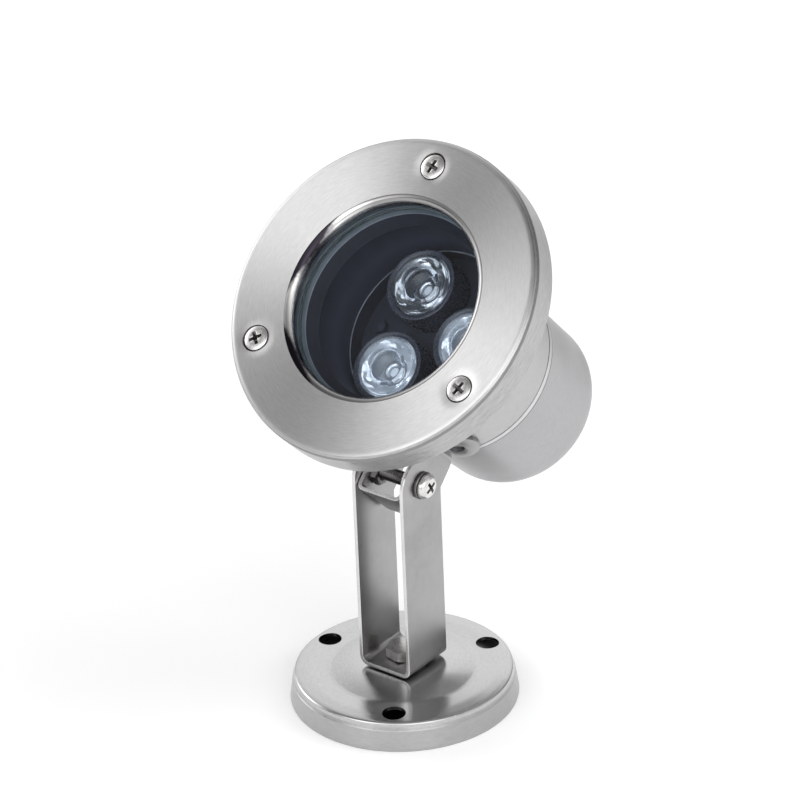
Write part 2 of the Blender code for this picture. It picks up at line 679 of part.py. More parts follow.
def make_head_bracket(lamp):
    """Strip under the sleeve: a U that hangs inside the yoke, with feet that follow the sleeve."""
    foot_radius = SLEEVE_RADIUS + FIT + BRACKET_THICKNESS / 2
    bend = BRACKET_BEND_RADIUS
    ear_x = BRACKET_EAR_X
    corner_x = ear_x + bend
    corner_y = math.sqrt((foot_radius + bend) ** 2 - corner_x**2)
    meet = math.degrees(math.atan2(corner_x, corner_y))
    web_y = AXIS_ABOVE_PIVOT + BRACKET_WEB_BELOW_PIVOT
    ear = (web_y - bend - corner_y,)
    web = (2 * (ear_x - bend),)
    swing = 90 - meet
    start_angle = math.radians(meet + FOOT_ARC)
    start = (-foot_radius * math.sin(start_angle), foot_radius * math.cos(start_angle))
    moves = [(-FOOT_ARC, foot_radius), (swing, bend), ear, (-90, bend), web, (-90, bend), ear]
    moves += [(swing, bend), (-FOOT_ARC, foot_radius)]
    samples = fold_path(start, meet + FOOT_ARC, moves)
    end_radius = FOOT_WIDTH / 2
    total = samples[-1][0]
    samples = with_end_samples(samples, round_end_distances(end_radius))
    foot_length = math.radians(FOOT_ARC) * foot_radius

    def width_at(distance):
        from_end = min(distance, total - distance)
        spread = min(max((from_end - foot_length) / FOOT_SPREAD_LENGTH, 0), 1)
        return round_end_width(from_end, end_radius, FOOT_WIDTH) + (BRACKET_WIDTH - FOOT_WIDTH) * spread

    mesh = folded_strip("head_bracket", samples, BRACKET_THICKNESS, width_at)
    bracket = add_piece("head_bracket", mesh, "brushed_steel", lamp, (0, 0, BRACKET_DEPTH))
    hole_angle = meet + FOOT_ARC - math.degrees(end_radius / foot_radius)
    hole = disc_profile(FOOT_HOLE_RADIUS, foot_radius - CUT_PAST, foot_radius + CUT_PAST)
    for side in (-1, 1):
        turn = (-90, 0, -side * hole_angle)
        cut(bracket, turned("foot_hole", hole, SMALL), lamp, (0, 0, BRACKET_DEPTH), turn)
    pivot_hole = turned("ear_hole", disc_profile(PIVOT_BORE_RADIUS, -corner_x, corner_x), SMALL)
    cut(bracket, pivot_hole, lamp, (0, AXIS_ABOVE_PIVOT, FACE_AHEAD_OF_PIVOT), (0, 90, 0))


# ---------------------------------------------------------------- optics and electronics


def board_front():
    return OPTIC_FRONT + HOLDER_HEIGHT + FIT


def make_optics(lamp):
    """Three clear collimator lenses, each in a black cup over its LED."""
    front = OPTIC_FRONT
    floor = OPTIC_FRONT + HOLDER_HEIGHT
    bore = HOLDER_RADIUS - HOLDER_WALL
    floor_hole = LENS_BASE_RADIUS + 0.6
    cup = [(HOLDER_RADIUS - 0.3, front), (HOLDER_RADIUS, front + 0.4), (HOLDER_RADIUS, floor)]
    cup += [(floor_hole, floor), (floor_hole, floor - HOLDER_WALL), (bore, front + 1.6), (bore, front)]
    rim = LENS_RADIUS
    lens = [(0, front + 1.6), (3.0, front + 1.3), (3.6, front + 0.2), (rim, front + 0.3), (rim, front + 1.1)]
    lens += [(LENS_BASE_RADIUS, floor - 1.8), (3.4, floor - 1.8), (3.0, floor - 4.6), (0, floor - 5.2)]
    top = floor - LED_HEIGHT
    shelf = top + 1.6
    led = [(0, top), (1.6, top + 0.3), (2.5, top + 1.2), (2.6, shelf), (LED_RADIUS, shelf)]
    led += [(LED_RADIUS, floor), (0, floor)]
    for index, (x, y) in enumerate(around_lamp(OPTIC_CIRCLE_RADIUS, OPTIC_FIRST_ANGLE)):
        number = index + 1
        place = (x, y, 0)
        add_piece(f"lens_holder_{number}", turned("lens_holder", cup, MEDIUM), "black_plastic", lamp, place)
        add_piece(f"lens_{number}", turned("lens", lens, MEDIUM), "clear_optic", lamp, place)
        add_piece(f"led_{number}", turned("led", led, SMALL), "led_yellow", lamp, place)


def heat_sink_front():
    return board_front() + BOARD_THICKNESS + FIT


def make_led_module(lamp):
    """Board behind the optics, the black ring that holds it down and the heat sink behind it."""
    front = board_front()
    back = front + BOARD_THICKNESS
    ring_bore = SPACER_RING_RADIUS - SPACER_RING_WALL
    ring = tube_profile(ring_bore, SPACER_RING_RADIUS, SPACER_RING_FRONT, front - FIT)
    add_piece("spacer_ring", turned("spacer_ring", ring, LARGE), "black_plastic", lamp)
    board = turned("led_board", disc_profile(BOARD_RADIUS, front, back), LARGE)
    board = add_piece("led_board", board, "black_plastic", lamp)
    centres = around_lamp(BOARD_SCREW_CIRCLE, OPTIC_FIRST_ANGLE + 60)
    hole = BOARD_SCREW_RADIUS + FIT
    through = disc_profile(hole, front - CUT_PAST, back + CUT_PAST)
    cut(board, turned("board_holes", through, SMALL, centres), lamp)
    sink_front = heat_sink_front()
    sink_back = sink_front + HEAT_SINK_THICKNESS
    step = sink_back - HEAT_SINK_STEP_DEPTH
    core = HEAT_SINK_RADIUS - HEAT_SINK_STEP
    profile = [(0, sink_front), (HEAT_SINK_RADIUS, sink_front), (HEAT_SINK_RADIUS, step)]
    profile += [(core, step), (core, sink_back), (0, sink_back)]
    sink = add_piece("heat_sink", turned("heat_sink", profile, LARGE), "aluminium", lamp)
    screw_end = sink_front + BOARD_SCREW_GRIP
    blind_hole = disc_profile(hole, sink_front - CUT_PAST, screw_end + 1.2)
    cut(sink, turned("sink_holes", blind_hole, SMALL, centres), lamp)
    top = front - BOARD_SCREW_HEAD_HEIGHT
    seat = front - FIT
    screw = [(0, top), (BOARD_SCREW_HEAD_RADIUS - 0.5, top + 0.3), (BOARD_SCREW_HEAD_RADIUS, seat)]
    screw += [(BOARD_SCREW_RADIUS, seat), (BOARD_SCREW_RADIUS, screw_end), (0, screw_end)]
    for index, (x, y) in enumerate(centres):
        mesh = turned("board_screw", screw, SMALL)
        add_piece(f"board_screw_{index + 1}", mesh, "screw_steel", lamp, (x, y, 0))


def make_driver(lamp):
    """Small constant-current driver on two pillars behind the heat sink."""
    low = DRIVER_DEPTH
    high = low + BOARD_THICKNESS
    neck = BOARD_SCREW_RADIUS
    start = heat_sink_front() + HEAT_SINK_THICKNESS + FIT
    end = high + PILLAR_TIP
    board = turned("driver_board", disc_profile(DRIVER_RADIUS, low, high), MEDIUM)
    board = add_piece("driver_board", board, "green_board", lamp)
    centres = around_lamp(PILLAR_CIRCLE, 0, count=2)
    hole = disc_profile(neck + FIT, low - CUT_PAST, high + CUT_PAST)
    cut(board, turned("driver_holes", hole, SMALL, centres), lamp)
    pillar = [(0, start), (PILLAR_RADIUS, start), (PILLAR_RADIUS, low - FIT), (neck, low - FIT)]
    pillar += [(neck, end), (0, end)]
    for index, (x, y) in enumerate(centres):
        mesh = turned("driver_pillar", pillar, SMALL)
        add_piece(f"driver_pillar_{index + 1}", mesh, "brass", lamp, (x, y, 0))
    seat = high + FIT
    coil = turned("driver_coil", tube_profile(COIL_BORE_RADIUS, COIL_RADIUS, seat, seat + COIL_HEIGHT), SMALL)
    add_piece("driver_coil", coil, "black_plastic", lamp, COIL_PLACE)
    top = high + CAPACITOR_HEIGHT
    can = [(0, seat), (CAPACITOR_RADIUS, seat), (CAPACITOR_RADIUS, top - 0.5)]
    can += [(CAPACITOR_RADIUS - 0.4, top), (0, top)]
    capacitor = turned("driver_capacitor", can, SMALL)
    add_piece("driver_capacitor", capacitor, "black_plastic", lamp, CAPACITOR_PLACE)


# ---------------------------------------------------------------- cable gland


def make_gland(lamp):
    """Gland through the cup's end: lock nut inside; washer, body, seal and cap nut outside."""
    inside = CUP_END - CUP_WALL - FIT
    outside = CUP_END + FIT
    thread, bore, collar_radius = GLAND_THREAD_RADIUS, GLAND_BORE_RADIUS, GLAND_COLLAR_RADIUS
    hole = thread + FIT
    lock_nut = hexagonal("gland_lock_nut", GLAND_FLATS, inside - GLAND_LOCK_NUT_THICKNESS, inside, bore=hole)
    add_piece("gland_lock_nut", lock_nut, "screw_steel", lamp)
    washer_end = outside + GLAND_WASHER_THICKNESS
    washer = turned("gland_washer", tube_profile(hole, collar_radius, outside, washer_end), SMALL)
    add_piece("gland_washer", washer, "black_rubber", lamp)
    start = inside - GLAND_LOCK_NUT_THICKNESS - 1
    collar = washer_end + FIT
    neck = collar + GLAND_COLLAR_THICKNESS
    end = neck + GLAND_NECK_LENGTH
    pocket = neck + 0.6
    pocket_radius = GLAND_SEAL_RADIUS + FIT
    body = [(bore, start), (thread, start), (thread, collar), (collar_radius, collar), (collar_radius, neck)]
    body += [(thread, neck), (thread, end), (pocket_radius, end), (pocket_radius, pocket), (bore, pocket)]
    add_piece("gland_body", turned("gland_body", body, HEX_SIDES), "screw_steel", lamp)
    seal = turned("gland_seal", tube_profile(bore, GLAND_SEAL_RADIUS, pocket + FIT, end + 2), HEX_SIDES)
    add_piece("gland_seal", seal, "black_rubber", lamp)
    cap = hexagonal("gland_cap_nut", GLAND_FLATS, neck + FIT, neck + GLAND_CAP_LENGTH, bore=hole)
    add_piece("gland_cap_nut", cap, "screw_steel", lamp)


def build():
    clear_scene()
    make_materials()
    root = add_frame("base_frame")
    swivel = add_frame("swivel_frame", root)
    tilt = add_frame("tilt_frame", swivel, (0, 0, PIVOT_HEIGHT), tip=-(90 + REST_TILT))
    lamp = add_frame("lamp_frame", tilt, (0, -AXIS_ABOVE_PIVOT, -FACE_AHEAD_OF_PIVOT))
    make_base(root)
    make_swivel(root)
    make_yoke(swivel)
    make_pivot(swivel)
    make_face_ring(lamp)
    make_face_screws(lamp)
    make_glass_and_seals(lamp)
    make_sleeve(lamp)
    make_rear_cup(lamp)
    make_head_bracket(lamp)
    make_optics(lamp)
    make_led_module(lamp)
    make_driver(lamp)
    make_gland(lamp)


build()
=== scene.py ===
"""Looks of a stainless-steel underwater pond light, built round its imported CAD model.

Sizes are in millimetres and are turned into metres where a mesh is made. The base's pieces are built in the
row's frame: +Z up, origin under the base. The lamp's pieces are built in the lamp's own frame: +Z runs back
from the front plane of the face ring along the lamp's axis, +X as in the row and +Y down.
"""

import json
from math import atan2, cos, degrees, hypot, pi, radians, sin, sqrt, tan

import bmesh
import bpy
from mathutils import Euler, Matrix, Vector


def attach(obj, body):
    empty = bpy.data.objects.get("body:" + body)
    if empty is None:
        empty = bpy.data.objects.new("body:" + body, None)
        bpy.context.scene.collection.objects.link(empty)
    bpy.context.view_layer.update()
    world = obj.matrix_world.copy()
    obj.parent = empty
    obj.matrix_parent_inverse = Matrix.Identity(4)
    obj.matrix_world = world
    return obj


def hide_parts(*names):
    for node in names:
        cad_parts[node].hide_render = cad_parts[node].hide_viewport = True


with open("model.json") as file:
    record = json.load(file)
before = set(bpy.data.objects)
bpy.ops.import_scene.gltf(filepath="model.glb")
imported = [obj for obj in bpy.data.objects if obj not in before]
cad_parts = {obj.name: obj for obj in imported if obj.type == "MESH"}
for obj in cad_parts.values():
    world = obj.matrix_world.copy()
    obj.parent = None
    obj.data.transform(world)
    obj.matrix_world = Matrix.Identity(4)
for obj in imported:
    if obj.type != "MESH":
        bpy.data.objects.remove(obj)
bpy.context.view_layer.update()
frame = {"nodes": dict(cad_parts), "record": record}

# Each CAD node's body, which the piece that stands in for it takes over.
BODIES = {node: body for body, nodes in frame["record"]["behaviour"]["bodies"].items() for node in nodes}

MM = 0.001
FIT = 0.1

# Camera, as a product photograph is taken: a long lens from the front right and above.
CAMERA_PLACE = (896.1, -1123.2, 878.8)
CAMERA_HEADING = 38.49
CAMERA_PITCH = 28.16
CAMERA_ROLL = -2.36
CAMERA_LENS = 227.9
CAMERA_FAR_CLIP = 20.0  # metres

# Soft glows of the studio: direction, brightness and how narrow each one is.
GLOWS = (
    ((-0.94, -0.14, 0.30), 3.5, 16.0),
    ((-0.08, -0.88, 0.46), 2.6, 13.0),
    ((0.71, -0.53, 0.47), 2.4, 10.0),
    ((-0.50, 0.75, 0.42), 1.1, 5.0),
    ((0.90, 0.35, 0.25), 0.7, 4.0),
)
STUDIO_BASE = 0.15
FLOOR_SIZE = 6000.0
FLOOR_GLOW = 0.16

# Base and swivel.
BASE_RADIUS = 38.0
BASE_SHOULDER_RADIUS = 36.3
BASE_HEIGHT = 10.4
BASE_SKIRT_HEIGHT = 8.4
BASE_WALL = 1.2
DOME_RADIUS = 24.2
DOME_FLAT_RADIUS = 13.0
DOME_RISE = 1.7
DOME_TOP = BASE_HEIGHT + DOME_RISE
MOUNT_HOLE_RADIUS = 3.9
MOUNT_CIRCLE_RADIUS = 30.5
MOUNT_FIRST_ANGLE = 61.3
BOLT_RADIUS = 3.0
BOLT_END = 1.2
BOLT_HEAD_FLATS = 10.0
BOLT_HEAD_HEIGHT = 4.0
BOLT_TURN = 20.0
BASE_NUT_THICKNESS = 5.0
BASE_LOCK_WASHER_RADIUS = 5.2
BASE_LOCK_WASHER_THICKNESS = 1.4
FOOT_WASHER_RADIUS = 8.0
FOOT_WASHER_THICKNESS = 0.4

# Yoke and pivot.
STRIP_WIDTH = 20.0
YOKE_WIDTH = 20.7
YOKE_THICKNESS = 1.3
YOKE_BEND_RADIUS = 3.2
PIVOT_HEIGHT = 81.7
PIVOT_RADIUS = 2.4
PIVOT_BORE_RADIUS = 2.5
PIVOT_HEAD_RADIUS = 4.2
PIVOT_HEAD_HEIGHT = 2.8
PIVOT_RECESS_TURN = 28.0
PIVOT_PAST_NUT = 1.3
PIVOT_NUT_FLATS = 8.0
PIVOT_NUT_THICKNESS = 4.0
JAM_NUT_THICKNESS = 2.7
PIVOT_WASHER_RADIUS = 4.6
PIVOT_WASHER_THICKNESS = 1.1
PIVOT_PITCH = 0.8

# Lamp.
REST_TILT = 45.0
AXIS_ABOVE_PIVOT = 44.7
FACE_AHEAD_OF_PIVOT = 50.2
RING_RADIUS = 55.0
RING_DEPTH = 11.5
RING_WALL = 1.5
RING_EDGE_RADIUS = 2.2
RING_DISH = 0.9
OPENING_RADIUS = 33.2
LIP_DEPTH = 4.6
LIP_RADIUS = 2.4
# Painted dark reflections on the polished lip round the opening.
LIP_PAINTED_DARK_REFLECTIONS = ((167.0, 22.0), (231.0, 17.0))  # angle and half width of each
FACE_SCREW_CIRCLE = 45.7
FACE_SCREW_FIRST_ANGLE = 93.4
FACE_SCREW_TURNS = (12.0, 50.0, 20.0)
FACE_SCREW_HEAD_RADIUS = 4.2
FACE_SCREW_RADIUS = 1.9
FACE_SCREW_END = 16.5
DIMPLE_RADIUS = 7.4
DIMPLE_DEPTH = 0.75
RING_NUT_FLATS = 7.0
RING_NUT_THICKNESS = 3.2
GLASS_FRONT = LIP_DEPTH + 2 * FIT
GLASS_RADIUS = 39.0
GLASS_THICKNESS = 3.5
SEAL_THICKNESS = 1.2
REAR_SEAL_BORE = 33.8
FLANGE_FRONT = GLASS_FRONT + GLASS_THICKNESS + SEAL_THICKNESS + 2 * FIT
FLANGE_RADIUS = 52.5
FLANGE_WALL = 1.4
MOUTH_RADIUS = 33.6
SLEEVE_RADIUS = 31.2
SLEEVE_WALL = 1.2
SLEEVE_BORE = SLEEVE_RADIUS - SLEEVE_WALL
SLEEVE_END = 62.0
SLEEVE_GROOVE = SLEEVE_END - 3.2
SLEEVE_GROOVE_WIDTH = 0.6
SLEEVE_GROOVE_DEPTH = 0.2
# Where the painted dark shade at the sleeve's end begins.
SLEEVE_END_SHADE_START = SLEEVE_END - 0.95
CUP_RADIUS = 29.9
CUP_END_RADIUS = 28.9
CUP_WALL = 1.2
CUP_CORNER_RADIUS = 12.0
CUP_END = 106.0
CUP_OVERLAP = 8.0

BRACKET_WIDTH = 19.0
BRACKET_DEPTH = 54.3
BRACKET_THICKNESS = 1.2
BRACKET_EAR_X = 8.1
BRACKET_WEB_BELOW_PIVOT = 8.2
BRACKET_BEND_RADIUS = 1.8
BRACKET_TAPER = 3.0
FOOT_WIDTH = 15.0
FOOT_ARC = 23.0
FOOT_HOLE_RADIUS = 2.6

OPTIC_CIRCLE_RADIUS = 16.8
OPTIC_FIRST_ANGLE = 122.0
OPTIC_FRONT = 31.8
HOLDER_RADIUS = 12.4
HOLDER_HEIGHT = 11.6
HOLDER_WALL = 1.8
OPTIC_FLOOR = OPTIC_FRONT + HOLDER_HEIGHT
LENS_RADIUS = 10.4
LENS_BASE_RADIUS = 5.0
LED_HEIGHT = 2.6
LED_RADIUS = 3.2
PLATE_RING_RADIUS = 29.85
PLATE_RING_WALL = 0.5
PLATE_RING_FRONT = 36.6

GLAND_THREAD_RADIUS = 5.0
GLAND_BORE_RADIUS = 3.1
GLAND_COLLAR_RADIUS = 6.8
GLAND_COLLAR_THICKNESS = 2.2
GLAND_WASHER_THICKNESS = 0.8
GLAND_SEAL_RADIUS = 4.1
GLAND_FLATS = 13.0

# Sides of the round pieces, from the largest to the smallest.
RING_SIDES = 288
ROUND = 192
OPTIC_SIDES = 96
HEX_SIDES = 96
FINE = 64
THREAD_SIDES = 32


def turn(angle, axis="Z"):
    return Matrix.Rotation(radians(angle), 4, axis)


def at(x, y, z=0.0):
    return Matrix.Translation((x * MM, y * MM, z * MM))


IN_ROW = Matrix.Identity(4)
AT_PIVOT = at(0, 0, PIVOT_HEIGHT) @ turn(90, "Y")
IN_LAMP = at(0, 0, PIVOT_HEIGHT) @ turn(-90 - REST_TILT, "X") @ at(0, -AXIS_ABOVE_PIVOT, -FACE_AHEAD_OF_PIVOT)


# ---- materials


class Nodes:
    """A short way to build the node tree of a material or a world."""

    def __init__(self, owner, shader):
        owner.use_nodes = True
        self.owner = owner
        self.tree = owner.node_tree
        self.shader = self.tree.nodes[shader]

    def add(self, kind, settings=None, **inputs):
        """A node of this kind, with these attributes and inputs."""
        node = self.tree.nodes.new("ShaderNode" + kind)
        for key, value in (settings or {}).items():
            setattr(node, key, value)
        self.feed(node, inputs)
        return node

    def feed(self, node, inputs):
        """Gives each input, named or numbered as in i0, a value or another node's output."""
        for key, value in inputs.items():
            numbered = key[:1] == "i" and key[1:].isdigit()
            socket = node.inputs[int(key[1:]) if numbered else key.replace("_", " ")]
            if isinstance(value, bpy.types.NodeSocket):
                self.tree.links.new(value, socket)
            else:
                socket.default_value = value

    def set(self, **inputs):
        self.feed(self.shader, inputs)

    def math(self, operation, *values):
        inputs = {f"i{index}": value for index, value in enumerate(values)}
        return self.add("Math", {"operation": operation}, **inputs).outputs[0]

    def local(self):
        return self.add("TexCoord").outputs["Object"]

    def from_axis(self):
        """The point's x, y and z, and its distance from the piece's Z axis."""
        x, y, z = self.add("SeparateXYZ", Vector=self.local()).outputs
        squares = self.math("ADD", self.math("MULTIPLY", x, x), self.math("MULTIPLY", y, y))
        return x, y, z, self.math("SQRT", squares)

    def lathe_grain(self, reach):
        """Coordinates that turn noise into fine rings round Z. A longer reach makes shorter strokes."""
        x, y, z, radius = self.from_axis()
        divisor = self.math("MAXIMUM", radius, 1e-5)
        unit = [self.math("DIVIDE", way, divisor) for way in (x, y)]
        cosine, sine = (self.math("MULTIPLY", way, reach * MM) for way in unit)
        across = self.math("ADD", radius, self.math("MULTIPLY", z, 0.7))
        return self.add("CombineXYZ", X=cosine, Y=sine, Z=across).outputs[0]

    def strip_grain(self):
        """Coordinates that turn noise into long strokes along Z."""
        return self.add("Mapping", Vector=self.local(), Scale=(1.0, 1.0, 0.035)).outputs[0]

    def noise(self, scale, detail=3.0, roughness=0.6, vector=None):
        """Noise from 0 to 1, with this many features to the metre."""
        where = self.local() if vector is None else vector
        node = self.add("TexNoise", Vector=where, Scale=scale, Detail=detail, Roughness=roughness)
        return node.outputs[0]

    def spread(self, value, low, high, from_low=0.3, from_high=0.7):
        """The value's middle range stretched to low..high."""
        ends = {"From_Min": from_low, "From_Max": from_high, "To_Min": low, "To_Max": high}
        return self.add("MapRange", Value=value, **ends).outputs[0]

    def tint(self, share, first, second):
        """A mix of two colours, each of which is a colour or another node's output."""
        ends = [end if isinstance(end, bpy.types.NodeSocket) else (*end, 1.0) for end in (first, second)]
        return self.add("Mix", {"data_type": "RGBA"}, i0=share, i6=ends[0], i7=ends[1]).outputs[2]

    def clouds(self, noise, first, second):
        """Two colours spread by a noise."""
        return self.tint(self.spread(noise, 0.0, 1.0), first, second)

    def bump(self, height, distance, strength):
        """A normal for this height, with its full rise in millimetres."""
        return self.add("Bump", Strength=strength, Distance=distance * MM, Height=height).outputs[0]


def new_material(name):
    return Nodes(bpy.data.materials.new(name), "Principled BSDF")


def dimmed(colour, factor):
    return [value * factor for value in colour]


def turned_steel(name, colour, roughness, grain=0.06, anisotropy=0.85, contrast=0.16):
    """Stainless steel brushed or polished on a lathe: fine rings round the piece's own Z axis."""
    mat = new_material(name)
    fine = mat.noise(2600.0, 4.0, 0.75, mat.lathe_grain(5.0))
    broad = mat.noise(45.0, 2.0)
    rough = mat.spread(fine, roughness - grain, roughness + grain)
    rough = mat.math("ADD", rough, mat.spread(broad, -0.03, 0.03))
    tangent = mat.add("Tangent", {"direction_type": "RADIAL", "axis": "Z"}).outputs[0]
    mat.set(Metallic=1.0, Anisotropic=anisotropy, Anisotropic_Rotation=0.25, Roughness=rough)
    mat.set(Base_Color=mat.clouds(fine, dimmed(colour, 1 - contrast), colour))
    mat.set(Tangent=tangent, Normal=mat.bump(fine, 0.004, 0.6))
    return mat.owner


def lip_with_painted_reflections(name):
    """Polished steel with painted reflections: a painted highlight makes it paler on the left, and painted
    dark reflections lie at the upper left and the lower left.
    """
    mat = new_material(name)
    x, y, _ = mat.add("SeparateXYZ", Vector=mat.local()).outputs
    grain = mat.noise(700.0, 2.0)
    lip_scale = 1.03  # the lip's middle lies a little outside the opening
    dark = 0.0
    # Each painted dark reflection is darkest in its middle and fades out to its half width.
    for middle, half_width in LIP_PAINTED_DARK_REFLECTIONS:
        along = mat.math("MULTIPLY", x, cos(radians(middle)) / (OPENING_RADIUS * MM))
        across = mat.math("MULTIPLY", y, -sin(radians(middle)) / (OPENING_RADIUS * MM))
        near = mat.math("ADD", mat.math("ADD", along, across), mat.spread(grain, -0.006, 0.006))
        start, full = (lip_scale * cos(radians(half_width * share)) for share in (1, 0.55))
        dark = mat.math("MAXIMUM", dark, mat.spread(near, 0.0, 1.0, start, full))
    # Painted highlight: the lip is paler on its left side.
    left = mat.spread(mat.math("MULTIPLY", x, 1 / (OPENING_RADIUS * MM)), 1.0, 0.0, -0.85, -0.55)
    plain = mat.tint(left, (0.34, 0.335, 0.335), (0.95, 0.94, 0.93))
    mat.set(Metallic=1.0, Roughness=mat.spread(grain, 0.10, 0.18))
    mat.set(Base_Color=mat.tint(dark, plain, (0.035, 0.03, 0.04)), Normal=mat.bump(grain, 0.01, 0.4))
    return mat.owner


def strip_steel(name, colour, roughness):
    """Rolled strip with a satin finish: fine lengthwise grain and a slight mottle."""
    mat = new_material(name)
    grain = mat.noise(3200.0, 4.0, 0.7, mat.strip_grain())
    mottle = mat.noise(70.0, 4.0)
    rough = mat.spread(grain, roughness - 0.05, roughness + 0.05)
    mat.set(Metallic=1.0, Roughness=mat.math("ADD", rough, mat.spread(mottle, -0.05, 0.05)))
    mat.set(Base_Color=mat.clouds(mottle, dimmed(colour, 0.80), colour))
    mat.set(Normal=mat.bump(grain, 0.005, 0.6))
    return mat.owner


def screw_steel(name, colour, roughness):
    """Bright cold-formed metal with small dents."""
    mat = new_material(name)
    dents = mat.noise(900.0, 3.0)
    stain = mat.noise(220.0, 2.0)
    mat.set(Metallic=1.0, Roughness=mat.spread(dents, roughness - 0.06, roughness + 0.1))
    mat.set(Base_Color=mat.clouds(stain, dimmed(colour, 0.72), colour))
    mat.set(Normal=mat.bump(dents, 0.02, 0.7))
    return mat.owner


def moulded(name, colour, roughness, second):
    """Moulded plastic or rubber: a fine grain, and clouds of a second colour."""
    mat = new_material(name)
    grain = mat.noise(1500.0, 3.0)
    cloud = mat.noise(90.0, 2.0)
    mat.set(Base_Color=mat.clouds(cloud, colour, second))
    mat.set(Roughness=mat.spread(grain, roughness - 0.06, roughness + 0.06))
    mat.set(Normal=mat.bump(grain, 0.01, 0.5))
    return mat.owner


def led_dome(name):
    """Silicone over a pale phosphor, with a faint painted glow that stands in for light falling on it; the
    LED is not lit.
    """
    mat = new_material(name)
    cloud = mat.noise(900.0, 2.0)
    mat.set(Base_Color=mat.clouds(cloud, (0.80, 0.80, 0.76), (0.92, 0.92, 0.90)))
    # Painted light: the unlit LED glows faintly.
    mat.set(Roughness=0.15, Coat_Weight=0.5, Emission_Color=(0.93, 0.97, 1.0, 1.0), Emission_Strength=0.45)
    return mat.owner


def dark_chamber_wall(name):
    """Dark blue on the sleeve's inside, darker near the mouth and paler towards the optics."""
    mat = new_material(name)
    depth = mat.add("SeparateXYZ", Vector=mat.local()).outputs["Z"]
    cloud = mat.noise(60.0, 2.0)
    deeper = mat.spread(depth, 0.0, 0.9, 15 * MM, 27 * MM)
    share = mat.math("ADD", deeper, mat.spread(cloud, 0.0, 0.1))
    mat.set(Base_Color=mat.tint(share, (0.010, 0.013, 0.026), (0.070, 0.077, 0.125)), Roughness=0.6)
    mat.set(Normal=mat.bump(mat.noise(1200.0), 0.01, 0.4))
    return mat.owner


def clear_material(name, colour, roughness, ior, waves=0.0, clearness=1.0, painted_reflection_strength=0.0):
    """Glass or clear plastic. Below full clearness it is milky, and a glow on it is a painted reflection,
    cloudy in places.
    """
    mat = new_material(name)
    smear = mat.noise(60.0, 3.0)
    mat.set(Base_Color=(*colour, 1.0), Transmission_Weight=clearness, IOR=ior)
    mat.set(Roughness=mat.spread(smear, roughness, roughness + 0.02))
    # Painted reflection: a pale cloudy glow over the lens.
    if painted_reflection_strength:
        cloud = mat.noise(170.0, 3.0)
        painted_reflection_colour = mat.tint(mat.spread(cloud, 0.0, 1.0, 0.38, 0.62), (0.22, 0.28, 0.36), (0.80, 0.90, 1.0))
        mat.set(Emission_Color=painted_reflection_colour, Emission_Strength=painted_reflection_strength)
    if waves:
        mat.set(Normal=mat.bump(mat.noise(400.0, 1.0), waves, 0.5))
    return mat.owner


